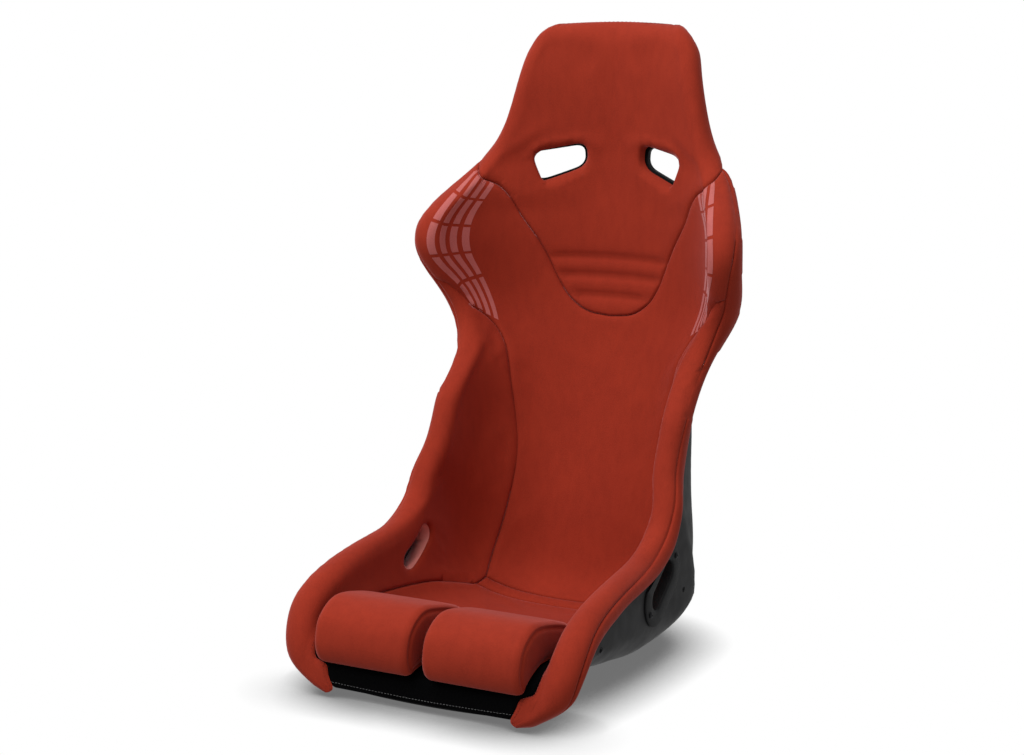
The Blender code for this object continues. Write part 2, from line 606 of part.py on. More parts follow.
def pads():
    holes = [mirrored(HARNESS_LOOP, side) for side in (-1, 1)]
    pad("head_pad", both_halves((*SHIELD_SEAM, *HEAD_TOP)), holes)
    back = ((CREASE_REAR, 0), *BOLSTER_SEAM, *WING_WELT[1:], *reversed(SHIELD_SEAM[:-1]))
    pad("back_pad", both_halves(back))
    base = ((BASE_FRONT, 0), (BASE_FRONT, 0.765), *BASE_SEAM[4:], (CREASE_FRONT, 0))
    pad("base_pad", both_halves(base), [CROTCH_LOOP])
    crease = ((CREASE_FRONT, 0), BASE_SEAM[-1], BOLSTER_SEAM[0], (CREASE_REAR, 0))
    pad("crease_roll", both_halves(crease))
    pad("lip_cover", both_halves(LIP_EDGE), finish="black_fabric")
    for side, word in ((-1, "left"), (1, "right")):
        wall = (*BASE_SEAM, *BOLSTER_SEAM, *reversed(BOLSTER_WELT[:-1]))
        pad(f"bolster_{word}", mirrored(wall, side), [mirrored(BELT_PLACES, side)])
        band = (*BOLSTER_WELT, *WING_WELT[1:], (80.9, 2.02), *HEM_LINE)
        pad(f"side_band_{word}", mirrored(band, side))


# ---- Thigh cushions

def closed_curve(corners, parts=3):
    """A smooth closed curve through the corners."""
    count, out = len(corners), []
    for i in range(count):
        p0, p1, p2, p3 = [np.array(corners[(i + k) % count]) for k in (-1, 0, 1, 2)]
        for k in range(parts):
            u = k / parts
            out.append(0.5 * (2 * p1 + (p2 - p0) * u + (2 * p0 - 5 * p1 + 4 * p2 - p3) * u * u
                              + (3 * p1 - p0 - 3 * p2 + p3) * u ** 3))
    return np.array(out)


def floor_height(x, y):
    """The height of the cloth on the seat's floor at a place."""
    s, t = 8.0, min(0.9, abs(x) / 0.2)
    for _ in range(12):
        here = cloth(s, t)
        ds, dt = (cloth(s + 0.05, t) - here)[:2] / 0.05, (cloth(s, t + 0.002) - here)[:2] / 0.002
        move = np.linalg.solve(np.array([ds, dt]).T, np.array([abs(x), y]) - here[:2])
        s = float(np.clip(s + np.clip(move[0], -3, 3), 1, 30))
        t = float(np.clip(t + np.clip(move[1], -0.1, 0.1), 0, 0.98))
    return cloth(s, t)[2]


def cushion_rings(side, shrink):
    """The cushion's side profile at places along x, drawn in towards both ends and inwards by shrink."""
    base = closed_curve(CUSHION_PROFILE)
    centre = base.mean(0)
    low, high = CUSHION_X[0] + shrink, CUSHION_X[1] - shrink
    edge = CUSHION_EDGE
    steps = [edge * (1 - cos(k * pi / 8)) for k in range(5)]
    places = [low + d for d in steps] + [low + (high - low) * k / 4 for k in (1, 2, 3)]
    places += [high - d for d in reversed(steps)]
    rings = []
    for x in places:
        end = min(x - low, high - x, edge)
        draw = shrink + edge - np.sqrt(max(edge ** 2 - (edge - end) ** 2, 0))
        loop = centre + (base - centre) * (1 - draw / np.array([0.09, 0.037]))
        for point in loop:
            if point[1] < 0.105:
                point[1] = max(point[1], floor_height(x, point[0]) + CUSHION_LIFT + shrink)
        rings.append([(side * x, y, z) for y, z in loop])
    return np.array(rings)


def skin_faces(rings, count, start=0, skip=()):
    """The quads round a run of rings, and its two end caps."""
    faces = []
    for r in range(rings - 1):
        for k in range(count):
            if (r, k) in skip:
                continue
            a, b = start + r * count + k, start + r * count + (k + 1) % count
            faces.append((a, b, b + count, a + count))
    faces.append(tuple(reversed(range(start, start + count))))
    last = start + (rings - 1) * count
    faces.append(tuple(range(last, last + count)))
    return faces


def thigh_cushions():
    for side, word in ((-1, "left"), (1, "right")):
        outer, inner = cushion_rings(side, 0), cushion_rings(side, COVER)
        rings, count = outer.shape[:2]
        low = [k for k in range(count) if outer[rings // 2, k, 2] < MOUTH_HEIGHT]
        mouth = {(r, k) for r in range(3, rings - 4) for k in low if (k + 1) % count in low}
        total = rings * count
        faces = skin_faces(rings, count, 0, mouth)
        faces += [tuple(reversed(face)) for face in skin_faces(rings, count, total, mouth)]
        uses = {}
        for face in faces:
            for a, b in zip(face, face[1:] + face[:1]):
                uses[(a, b)] = True
        faces += [(b, a, a + total, b + total) for a, b in list(uses)
                  if a < total and b < total and (b, a) not in uses]
        points = np.concatenate([outer.reshape(-1, 3), inner.reshape(-1, 3)])
        add_object(f"thigh_cover_{word}", points, faces, "red_fabric")
        foam = cushion_rings(side, COVER + 0.0030)
        add_object(f"thigh_foam_{word}", foam.reshape(-1, 3), skin_faces(rings, count), "foam")


def raised(height):
    return lambda s, t: cloth(s, t) + np.array([0, 0, height])


def hook_strips():
    for side, word in ((-1, "left"), (1, "right")):
        loops = [divided(mirrored(HOOK_STRIP, side), cloth, 0.03)]
        between(f"hook_strip_{word}", loops, raised(0.0042), raised(0.0026), "black_fabric")


for old in list(bpy.data.objects):
    bpy.data.objects.remove(old)
shell()
side_inserts()
bezels()
pads()
thigh_cushions()
hook_strips()
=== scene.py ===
"""The looks of the racing seat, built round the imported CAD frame.

The seat's surface is the CAD part's own. A point of the cloth is (s, t): s runs from 0 to 100 along the
centre line, from the front lip to the back of the head, and t from 0 on the centre line to 1 where the padded
edge roll starts and 2 where it faces down the outside. Every panel, seam, print and bezel is drawn in (s, t)
or taken from a CAD node's box, so it lands where the frame says.
"""

from math import cos, hypot, pi, radians, sin

import bmesh
import bpy
import numpy as np
from mathutils import Matrix, Vector
from mathutils.bvhtree import BVHTree
from mathutils.geometry import delaunay_2d_cdt


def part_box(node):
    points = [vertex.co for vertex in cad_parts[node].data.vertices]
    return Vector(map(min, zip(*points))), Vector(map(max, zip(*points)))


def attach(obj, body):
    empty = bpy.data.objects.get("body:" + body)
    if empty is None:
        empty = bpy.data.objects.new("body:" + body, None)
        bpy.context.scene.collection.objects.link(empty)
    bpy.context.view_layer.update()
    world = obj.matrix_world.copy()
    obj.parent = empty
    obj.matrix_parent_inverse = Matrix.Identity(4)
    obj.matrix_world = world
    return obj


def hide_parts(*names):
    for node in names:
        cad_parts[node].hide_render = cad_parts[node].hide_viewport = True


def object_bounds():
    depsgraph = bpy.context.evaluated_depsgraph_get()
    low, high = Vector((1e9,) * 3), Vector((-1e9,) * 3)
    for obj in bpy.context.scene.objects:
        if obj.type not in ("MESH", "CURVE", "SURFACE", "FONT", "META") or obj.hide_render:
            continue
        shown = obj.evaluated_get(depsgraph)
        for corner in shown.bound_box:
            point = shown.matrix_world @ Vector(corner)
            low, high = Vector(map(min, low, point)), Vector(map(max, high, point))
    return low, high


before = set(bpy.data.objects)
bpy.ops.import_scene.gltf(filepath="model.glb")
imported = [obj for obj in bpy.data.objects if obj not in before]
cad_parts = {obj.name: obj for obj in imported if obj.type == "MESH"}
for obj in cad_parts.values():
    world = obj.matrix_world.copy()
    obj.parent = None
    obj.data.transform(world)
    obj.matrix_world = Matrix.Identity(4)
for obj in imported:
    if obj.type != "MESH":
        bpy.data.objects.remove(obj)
CAD_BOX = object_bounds()
SIDES = ((-1, "left"), (1, "right"))

# ---- Sizes, in metres

DATUM = np.array([0, 0.0762, 0.0015])   # the frame's origin, measured from where the stations are measured
LAMINATE = 0.005            # thickness of the shell
SIDE_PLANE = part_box("side_insert_rear_right")[1][0]     # the flat outer side of the shell
PAD_GAP = 0.0047            # glue line between the shell and a pad
EDGE_GAP = 0.0026           # the same round the shell's edge
SHELL_SIDE = 0.008          # how far the shell's edge stands above the roll's centre
SHELL_TOP = 95.6            # where the shell ends at the head, in s
SEAM_GAP = 0.0004           # half the gap between two panels, at the bottom of the seam
SEAM_DEPTH = 0.0050         # how deep a seam pulls the cloth in
HOLE_MARGIN = 0.0022        # how much wider an opening is in the cloth than in the shell
UNDERCUT = 0.0060           # how much wider a belt opening is at the back of the pad than in the cloth
PAINTED_HIGHLIGHT_REACH = 0.030        # how far the pale lining of a belt opening, a painted highlight on its wall, reaches from its edge
SEAM_ROUND = 0.0085         # how wide the cloth rolls over towards a seam
PANEL_GRID = 0.0070           # spacing of a panel's points
BACK_GRID = 0.0300          # spacing on the hidden side of a panel
HEAD_BACK_GRID = 0.0100     # the same behind the head, where the hem shows
PANEL_RINGS = (0.0016, 0.0042)      # rows of points that follow a panel's outline, at these distances
PANEL_SWELL = 0.0022        # how far the simulation may swell a panel
CUSHION_SWELL = 0.006       # the same for a cushion
SHELL_GRID = 0.0110         # spacing of the shell's points
PER_S = 0.0145              # metres along the centre line per unit of s, about
PER_T = (0.30, 0.08)        # metres across per unit of t, before and after the roll starts, about

# name, centre line y and z, rise direction (degrees from up, forwards positive), roll centre x, y and z,
# roll radius, lean of the wall (degrees), fullness, pad thickness on the centre line, and at the roll
STATIONS = (
    ("lip_bottom",  -0.247, 0.006, 90, 0.141, -0.229, 0.006, 0.024, 10, 0.60, 0.007, 0.030),
    ("lip_middle",  -0.247, 0.028, 84, 0.184, -0.228, 0.036, 0.026, 14, 0.60, 0.007, 0.032),
    ("lip_top",     -0.240, 0.046, 60, 0.199, -0.224, 0.062, 0.027, 35, 0.60, 0.007, 0.035),
    ("floor_front", -0.222, 0.055, 35, 0.205, -0.212, 0.088, 0.027, 65, 0.70, 0.007, 0.039),
    ("thigh_front", -0.170, 0.057, 14, 0.206, -0.174, 0.120, 0.027, 84, 0.82, 0.008, 0.047),
    ("thigh_mid",   -0.050, 0.050,  4, 0.204, -0.062, 0.143, 0.026, 90, 0.86, 0.021, 0.049),
    ("thigh_rear",   0.060, 0.042, 10, 0.202,  0.030, 0.152, 0.026, 90, 0.86, 0.035, 0.049),
    ("seat_rear",    0.140, 0.036, 22, 0.202,  0.082, 0.171, 0.026, 90, 0.84, 0.032, 0.058),
    ("crease_low",   0.200, 0.037, 32, 0.202,  0.110, 0.195, 0.025, 90, 0.84, 0.028, 0.060),
    ("crease_high",  0.238, 0.060, 42, 0.201,  0.128, 0.225, 0.024, 90, 0.82, 0.024, 0.040),
    ("lumbar_low",   0.262, 0.130, 56, 0.192,  0.147, 0.264, 0.023, 90, 0.80, 0.020, 0.036),
    ("lumbar",       0.300, 0.250, 74, 0.188,  0.173, 0.322, 0.022, 88, 0.75, 0.018, 0.033),
    ("back_mid",     0.335, 0.355, 84, 0.187,  0.206, 0.366, 0.022, 84, 0.65, 0.016, 0.032),
    ("waist",        0.355, 0.420, 87, 0.191,  0.258, 0.418, 0.023, 78, 0.55, 0.016, 0.032),
    ("wing_low",     0.367, 0.490, 88, 0.221,  0.272, 0.486, 0.025, 74, 0.50, 0.016, 0.036),
    ("wing_mid",     0.371, 0.555, 88, 0.240,  0.228, 0.553, 0.026, 80, 0.50, 0.016, 0.038),
    ("wing_top",     0.372, 0.610, 88, 0.237,  0.232, 0.610, 0.026, 78, 0.50, 0.016, 0.038),
    ("shoulder",     0.374, 0.655, 89, 0.212,  0.280, 0.655, 0.025, 66, 0.45, 0.016, 0.034),
    ("neck_low",     0.375, 0.690, 90, 0.187,  0.320, 0.690, 0.023, 48, 0.40, 0.018, 0.029),
    ("neck",         0.375, 0.725, 90, 0.163,  0.335, 0.725, 0.021, 36, 0.40, 0.021, 0.026),
    ("head_low",     0.374, 0.780, 90, 0.143,  0.345, 0.780, 0.020, 30, 0.40, 0.023, 0.025),
    ("head_mid",     0.374, 0.830, 90, 0.131,  0.353, 0.830, 0.020, 26, 0.40, 0.023, 0.025),
    ("head_high",    0.376, 0.875, 85, 0.120,  0.366, 0.866, 0.021, 22, 0.40, 0.023, 0.025),
    ("head_edge",    0.384, 0.902, 50, 0.106,  0.380, 0.884, 0.022, 15, 0.40, 0.020, 0.025),
    ("head_top",     0.400, 0.910,  0, 0.094,  0.396, 0.888, 0.018,  8, 0.40, 0.011, 0.020),
    ("head_back",    0.414, 0.895, -80, 0.094, 0.404, 0.882, 0.016,  8, 0.40, 0.006, 0.018),
)

# Half outlines in (s, t), from the centre line outwards; the other half mirrors them
SHIELD_SEAM = ((62.7, 0), (63.1, 0.15), (64.4, 0.255), (66.3, 0.315), (69.2, 0.36), (71.8, 0.43),
               (74.7, 0.56), (76.9, 0.73), (78.0, 0.93), (79.4, 1.43), (80.6, 1.85))
BOLSTER_SEAM = ((33.4, 0.42), (37, 0.45), (44, 0.42), (48, 0.44), (52.6, 0.53), (57.4, 0.66), (61.9, 0.82),
                (64.3, 1.04), (66.2, 1.36), (66.9, 1.62))
WING_WELT = ((66.9, 1.62), (68.8, 1.69), (71.3, 1.81), (73.6, 1.89), (75.7, 1.97), (78.0, 1.97),
             (80.6, 1.85))
BOLSTER_WELT = ((0.1, 1.90), (10, 1.84), (18.5, 1.80), (28, 1.73), (36, 1.74), (45, 1.85), (52.4, 1.91),
                (58.4, 1.83), (61, 1.74), (63.8, 1.62), (66.9, 1.62))
BAND_CORNER = (80.7, 1.98)      # where the edge band's upper end meets its hem
HEM_LINE = ((80.0, 2.06), (78.6, 2.13), (76, 2.17), (60, 2.18), (47, 2.18), (41, 2.12), (36, 2.05),
            (18, 2.05), (13, 2.08), (8, 2.07), (0.1, 2.04))
BASE_SEAM = ((0.1, 1.25), (0.25, 1.0), (0.5, 0.84), (0.9, 0.75), (1.5, 0.695), (2.2, 0.66), (2.7, 0.65),
             (3.0, 0.67), (3.15, 0.73), (3.35, 0.79), (4.2, 0.82), (6, 0.82), (11, 0.78), (18, 0.74),
             (25, 0.66), (30, 0.52), (31.6, 0.44))
HEAD_TOP = ((80.6, 1.85), (81.2, 2.03), (83, 2.1), (88, 2.1), (94, 2.1), (96.8, 1.95), (98.6, 1.5),
            (99.3, 1.0), (99.7, 0.5), (99.7, 0))
CREASE_REAR, CREASE_FRONT = 33.4, 31.6
BASE_FRONT, LIP_START = 13.0, 0.8
HARNESS_SLOT = ((82.3, 0.345), (81.2, 0.675), (77.8, 0.48), (80.0, 0.275))
CROTCH_SLOT = ((15.4, 0.13), (17.7, 0.13))
BELT_OPENING, BELT_SLOPE = (-0.0142, 0.1275), 35       # centre in y and z, and degrees rising to the rear
BELT_HALF, BELT_R = 0.026, 0.0185
BELT_RIM, BELT_TOP = 0.022, (0.1555, 0.45)              # width of the bezel's flange, and its straight top
BELT_SLEEVE = 0.018                                     # how far the bezel lines the opening inwards
CLEAR = 0.0004                                          # clearance between two hard parts
MOUNT_HOLE_R = 0.0044                                   # a mount hole in the shell
THREAD_PITCH = 0.00125

# The side profile of a thigh cushion, in y and z, and its ends in x
CUSHION_PROFILE = ((-0.3270, 0.0515), (-0.3385, 0.0640), (-0.3415, 0.0880), (-0.3290, 0.1185),
                   (-0.2902, 0.1375), (-0.2362, 0.1285), (-0.1842, 0.1105), (-0.1592, 0.0885),
                   (-0.1702, 0.0625), (-0.2162, 0.0565), (-0.2762, 0.0560), (-0.3120, 0.0540))
CUSHION_X = (0.008, 0.160)
CUSHION_ROLL = 0.014        # rounding at a cushion's ends
CUSHION_LIFT = 0.0034       # gap under a cushion, where its hook strip sits
CUSHION_CLOTH = 0.0018      # thickness of its cover
CUSHION_POINTS = 72         # points round its profile
CUSHION_PINNED = 0.070      # below this height the simulation holds a cushion still
MOUTH_HEIGHT, MOUTH_FRONT = 0.0640, -0.300      # its cover is open below this height, behind this y
MOUTH_ENDS = 12             # how many rings at each end of the cover stay closed
FOAM_SHARE = (0.945, 0.90, 0.88)    # the foam's size inside its cover, along x, y and z
HOOK_STRIP = ((6.4, 0.16), (6.4, 0.44), (12.4, 0.44), (12.4, 0.16))

# Shoulder print: (s, t) down its outer and its inner edge, at the ends of its five rows
PRINT_OUTER = ((79.7, 1.49), (76.8, 1.42), (73.6, 1.37), (69.6, 1.36), (66.2, 1.12), (64.0, 1.01))
PRINT_INNER = ((77.7, 0.83), (75.5, 0.80), (72.6, 0.79), (69.7, 0.79), (67.1, 0.78), (62.0, 0.79))

STITCH, STITCH_GAP, STITCH_R = 0.0032, 0.0016, 0.00042      # a stitch's length, the gap to the next, radius
CLOTH_STIFFNESS, CLOTH_FRAMES = 30, 14                      # of the simulation


# ---- The seat's surface

def second_derivatives(x, y):
    """Of the natural cubic spline through the points."""
    count, step = len(x), np.diff(x)
    matrix, right = np.eye(count), np.zeros(count)
    for i in range(1, count - 1):
        matrix[i, i - 1:i + 2] = step[i - 1], 2 * (step[i - 1] + step[i]), step[i]
        right[i] = 6 * ((y[i + 1] - y[i]) / step[i] - (y[i] - y[i - 1]) / step[i - 1])
    return np.linalg.solve(matrix, right)


def natural_spline(x, y):
    bend, step = second_derivatives(x, y), np.diff(x)

    def value(q):
        i = np.clip(np.searchsorted(x, q, side="right") - 1, 0, len(x) - 2)
        a, b = (x[i + 1] - q) / step[i], (q - x[i]) / step[i]
        return (a * y[i] + b * y[i + 1]
                + ((a ** 3 - a) * bend[i] + (b ** 3 - b) * bend[i + 1]) * step[i] ** 2 / 6)
    return value


def monotone_spline(x, y):
    """A cubic spline that never overshoots its points."""
    step = np.diff(x)
    rise = np.diff(y) / step
    slope = np.zeros(len(x))
    slope[0], slope[-1] = rise[0], rise[-1]
    for i in range(1, len(x) - 1):
        if rise[i - 1] * rise[i] > 0:
            w1, w2 = 2 * step[i] + step[i - 1], step[i] + 2 * step[i - 1]
            slope[i] = (w1 + w2) / (w1 / rise[i - 1] + w2 / rise[i])

    def value(q):
        i = np.clip(np.searchsorted(x, q, side="right") - 1, 0, len(x) - 2)
        u = (q - x[i]) / step[i]
        return ((1 + 2 * u) * (1 - u) ** 2 * y[i] + u * (1 - u) ** 2 * step[i] * slope[i]
                + u * u * (3 - 2 * u) * y[i + 1] + u * u * (u - 1) * step[i] * slope[i + 1])
    return value


def spaced_knots(rows):
    """The s of each station: 0 to 100 along the centre line, with more room at tight bends."""
    gaps = [hypot(b[1] - a[1], b[2] - a[2]) ** 0.75 for a, b in zip(rows, rows[1:])]
    places = np.concatenate([[0], np.cumsum(gaps)])
    return places * 100 / places[-1]


KNOTS = spaced_knots(STATIONS)
SMOOTH = (1, 2, 4, 5, 6)    # the columns that follow a natural spline; the others mustn't overshoot
COLUMNS = [
    (natural_spline if i in SMOOTH else monotone_spline)(KNOTS, np.array([row[i] for row in STATIONS]))
    for i in range(1, 12)
]
SIDE_FLAT_END = KNOTS[11]   # behind this station the shell's sides are no longer flat


def profile(t, centre_x, centre_h, radius, lean, fullness, base):
    """A section's x and rise: a cubic to the roll, an arc over it, then straight down."""
    end_x = centre_x - radius * np.sin(lean)
    end_h = centre_h + radius * np.cos(lean)
    reach = (end_h - base) / np.maximum(np.sin(lean), 0.05)
    reach = np.clip(reach, 0, 0.8 * end_x / np.maximum(np.cos(lean), 0.05))
    bend_x, bend_h = end_x - reach * np.cos(lean), end_h - reach * np.sin(lean)
    u = np.clip(t, 0, 1)
    first, second = 3 * u * (1 - u) ** 2, 3 * u * u * (1 - u)
    x = first * fullness * bend_x + second * (end_x + fullness * (bend_x - end_x)) + u ** 3 * end_x
    h = ((1 - u) ** 3 + first) * base + second * (end_h + fullness * (bend_h - end_h)) + u ** 3 * end_h
    turn = lean - np.clip(t - 1, 0, 1) * (lean + pi / 2)
    x = np.where(t > 1, centre_x - radius * np.sin(turn), x)
    h = np.where(t > 1, centre_h + radius * np.cos(turn), h)
    return x, np.where(t > 2, centre_h - (t - 2) * 0.1, h)


def surface(s, t, depth=None):
    """Points of the cloth, or of a skin at a depth from the shell's mid-surface, inside positive."""
    s, t = np.broadcast_arrays(np.asarray(s, float), np.asarray(t, float))
    y, z, rise, w, roll_y, roll_z, radius, lean, full, pad, pad_edge = [column(s) for column in COLUMNS]
    rise, lean = np.radians(rise), np.radians(lean)
    roll_h = (y - roll_y) * np.sin(rise) + (roll_z - z) * np.cos(rise)
    shear = (roll_y - y) * np.cos(rise) + (roll_z - z) * np.sin(rise)
    side = np.abs(t)
    if depth is None:
        x, h = profile(side, w, roll_h, radius, lean, full, 0)
    else:
        away = pad_edge - radius
        edge_x = w + away * np.sin(lean) + SHELL_SIDE * np.cos(lean)
        edge_h = roll_h - away * np.cos(lean) + SHELL_SIDE * np.sin(lean)
        flat = np.where(s < SIDE_FLAT_END, SIDE_PLANE - LAMINATE / 2, 1.0)
        centre_x = np.where(side > 1, np.minimum(edge_x, flat), edge_x)
        x, h = profile(side, centre_x, edge_h, depth, lean, full, depth - pad - LAMINATE / 2)
        x = np.where(side > 1, x, np.minimum(x, flat - depth))
    across = shear * np.clip(x / w, 0, 1) ** 2
    point_y = y - h * np.sin(rise) + across * np.cos(rise)
    point_z = z + h * np.cos(rise) + across * np.sin(rise)
    if depth is not None:
        point_z = np.where(s < SIDE_FLAT_END, np.maximum(point_z, depth + LAMINATE / 2), point_z)
    return np.stack([np.where(t < 0, -x, x), point_y, point_z], -1) - DATUM


def cloth(s, t):
    return surface(s, t)


def pad_back(s, t):
    over = np.clip(np.abs(t) - 1, 0, 0.5) * 2
    return surface(s, t, LAMINATE / 2 + PAD_GAP + (EDGE_GAP - PAD_GAP) * over)


def shell_inside(s, t):
    return surface(s, t, LAMINATE / 2)


def shell_outside(s, t):
    return surface(s, t, -LAMINATE / 2)


def normals(flat):
    """Unit normals of the cloth, pointing away from the shell."""
    s, t = flat.T
    ds, dt = 0.15, 0.004
    sign = np.where(t < 0, -1.0, 1.0)
    inner = np.maximum(np.abs(t) - dt, 0) * sign
    outer = (np.abs(t) + dt) * sign
    along = cloth(s + ds, t) - cloth(s - ds, t)
    across = cloth(s, outer) - cloth(s, inner)
    across[np.abs(t) < dt] = np.where(sign[np.abs(t) < dt, None] > 0, 1, -1) * np.array([1.0, 0, 0])
    out = np.cross(across, along) * sign[:, None]
    return out / np.linalg.norm(out, axis=1)[:, None]


# ---- Outlines in (s, t)

def lengths(line):
    """How far along a line in space each of its points is."""
    return np.concatenate([[0], np.cumsum(np.linalg.norm(np.diff(line, axis=0), axis=1))])


def read_off(places, along, rows):
    """The rows at places along them, straight in between."""
    return np.stack([np.interp(places, along, column) for column in rows.T], -1)


def eased(before, start, end, after, u):
    """A point between start and end of a smooth curve through four points."""
    return 0.5 * (2 * start + (end - before) * u + (2 * before - 5 * start + 4 * end - after) * u * u
                  + (3 * start - before - 3 * end + after) * u ** 3)


def curve(points, parts=8):
    """A smooth open line through the points, with its own end points kept."""
    p = np.array([points[0], *points, points[-1]], float)
    p[0], p[-1] = 2 * p[1] - p[2], 2 * p[-2] - p[-3]
    out = [eased(*p[i:i + 4], k / parts) for i in range(len(p) - 3) for k in range(parts)]
    return [tuple(q) for q in (*out, p[-2])]


def closed_curve(corners, parts=8):
    """A smooth closed curve through the corners."""
    p = np.array([corners[-1], *corners, *corners[:2]])
    return np.array([eased(*p[i:i + 4], k / parts) for i in range(len(corners)) for k in range(parts)])


def evenly(loop, count):
    """A closed line resampled to evenly spaced points."""
    ends = np.concatenate([loop, loop[:1]])
    along = lengths(ends)
    return read_off(np.arange(count) * along[-1] / count, along, ends)


def joined(*lines):
    """One outline from lines that meet end to end."""
    out = []
    for line in lines:
        out += [tuple(p) for p in line if not out or hypot(p[0] - out[-1][0], p[1] - out[-1][1]) > 1e-6]
    if hypot(out[0][0] - out[-1][0], out[0][1] - out[-1][1]) < 1e-6:
        out.pop()
    return out


def both_halves(half):
    """A closed outline from its right half, which starts and ends on the centre line."""
    return list(half) + [(s, -t) for s, t in reversed(half) if t > 1e-9]


def mirrored(loop, side):
    return [(s, t * side) for s, t in loop]


def stretch(skin, s, t):
    """Metres per unit of s and of t at a place on a skin."""
    ds, dt = 0.2, 0.01
    along = (skin(s + ds, t) - skin(s - ds, t)) / (2 * ds)
    across = (skin(s, t + dt) - skin(s, t - dt)) / (2 * dt)
    return np.linalg.norm(along, axis=-1), np.linalg.norm(across, axis=-1)


def divided(loop, skin, step):
    """The closed outline, resampled so that no edge is longer than step on the skin."""
    points = []
    for a, b in zip(loop, list(loop[1:]) + [loop[0]]):
        a, b = np.array(a, float), np.array(b, float)
        length = np.linalg.norm(skin(*b) - skin(*a))
        parts = max(1, int(np.ceil(length / step)))
        points += [a + (b - a) * i / parts for i in range(parts)]
    return np.array(points)


def thinned(points, skin, least):
    """The outline without points that crowd the one before them."""
    kept = [points[0]]
    for point in points[1:]:
        if np.linalg.norm(skin(*point) - skin(*kept[-1])) > least:
            kept.append(point)
    return np.array(kept)


def moved(points, skin, distance):
    """The closed outline moved inwards, or outwards if negative, by a distance in metres on the skin."""
    scale = np.stack(stretch(skin, *points.T), -1)
    after, before = np.roll(points, -1, 0), np.roll(points, 1, 0)
    turns = np.sum(points[:, 0] * after[:, 1] - after[:, 0] * points[:, 1])
    out = np.zeros_like(points)
    for near, far in ((before, points), (points, after)):
        edge = (far - near) * scale
        edge /= np.linalg.norm(edge, axis=1)[:, None]
        out += np.stack([-edge[:, 1], edge[:, 0]], -1)
    size = np.linalg.norm(out, axis=1)
    out /= size[:, None] * np.maximum(size[:, None] / 2, 0.5)
    return points + np.sign(turns) * out / scale * distance


def inside(points, loop):
    """Which points lie in a closed outline."""
    found = np.zeros(len(points), bool)
    for (s0, t0), (s1, t1) in zip(loop, np.roll(loop, -1, 0)):
        if t0 == t1:
            continue
        crosses = (t0 > points[:, 1]) != (t1 > points[:, 1])
        found ^= crosses & (points[:, 0] < (s1 - s0) * (points[:, 1] - t0) / (t1 - t0) + s0)
    return found


def filled(points, loops):
    """Which points lie in the first outline and outside the others."""
    found = inside(points, loops[0])
    for loop in loops[1:]:
        found &= ~inside(points, loop)
    return found


def distance(points, line, closed=True):
    """How far points in space are from a line in space."""
    best = np.full(len(points), 1.0)
    ends = np.roll(line, -1, 0) if closed else line[1:]
    for a, b in zip(line, ends):
        edge = b - a
        share = np.clip(((points - a) @ edge) / max(edge @ edge, 1e-12), 0, 1)
        best = np.minimum(best, np.linalg.norm(points - a - share[:, None] * edge, axis=1))
    return best


def rounded(loop, skin, radius, parts=6):
    """The outline with each corner replaced by a short arc, in (s, t)."""
    out = []
    for i, corner in enumerate(loop):
        corner = np.array(corner, float)
        scale = np.array(stretch(skin, *corner))
        ends = []
        for other in (loop[i - 1], loop[(i + 1) % len(loop)]):
            way = (np.array(other) - corner) * scale
            ends.append(corner + way / np.linalg.norm(way) * radius / scale)
        for k in range(parts + 1):
            u = k / parts
            out.append(tuple((1 - u) ** 2 * ends[0] + 2 * u * (1 - u) * corner + u * u * ends[1]))
    return out


def place_on(skin, y, z):
    """The (s, t) of the skin's point at a y and a z, on the right side's wall."""
    s, t = 24.0, 0.85
    for _ in range(40):
        here = skin(s, t)
        ds, dt = (skin(s + 0.05, t) - here)[1:] / 0.05, (skin(s, t + 0.002) - here)[1:] / 0.002
        s_move, t_move = np.linalg.solve(np.array([ds, dt]).T, np.array([y, z]) - here[1:])
        s += float(np.clip(s_move, -3, 3))
        t = float(np.clip(t + np.clip(t_move, -0.1, 0.1), 0.05, 1))
    return s, t


def stadium(centre, slope, half, radius, parts=16):
    """The outline of a slot with round ends, in a plane."""
    way = (cos(radians(slope)), sin(radians(slope)))
    points = []
    for end in (1, -1):
        for k in range(parts + 1):
            turn = radians(slope) + (pi / 2 if end < 0 else -pi / 2) + pi * k / parts
            points.append((centre[0] + end * half * way[0] + radius * cos(turn),
                           centre[1] + end * half * way[1] + radius * sin(turn)))
    return points


SHIELD, BOLSTER = curve(SHIELD_SEAM), curve(BOLSTER_SEAM)
WING, WELT = curve(WING_WELT), curve(BOLSTER_WELT)
BASE = curve(BASE_SEAM)
HEM = curve(HEM_LINE)
HARNESS_LOOP = rounded(list(HARNESS_SLOT), shell_inside, 0.0145)
HARNESS_LOOP = [tuple(p) for p in moved(divided(HARNESS_LOOP, shell_inside, 0.004), shell_inside, -0.0030)]
CROTCH_LOOP = rounded([(CROTCH_SLOT[0][0], -0.13), (CROTCH_SLOT[0][0], 0.13), (CROTCH_SLOT[1][0], 0.13),
                       (CROTCH_SLOT[1][0], -0.13)], shell_inside, 0.008)
BELT_LOOP = [place_on(shell_outside, y, z) for y, z in stadium(BELT_OPENING, BELT_SLOPE, BELT_HALF, BELT_R)]


# ---- Meshes

def plain_mesh(name, points, faces):
    mesh = bpy.data.meshes.new(name)
    mesh.from_pydata([tuple(map(float, p)) for p in points], [], [tuple(map(int, f)) for f in faces])
    return mesh


def placed(name, data):
    """A new object in the scene."""
    made = bpy.data.objects.new(name, data)
    bpy.context.scene.collection.objects.link(made)
    return made


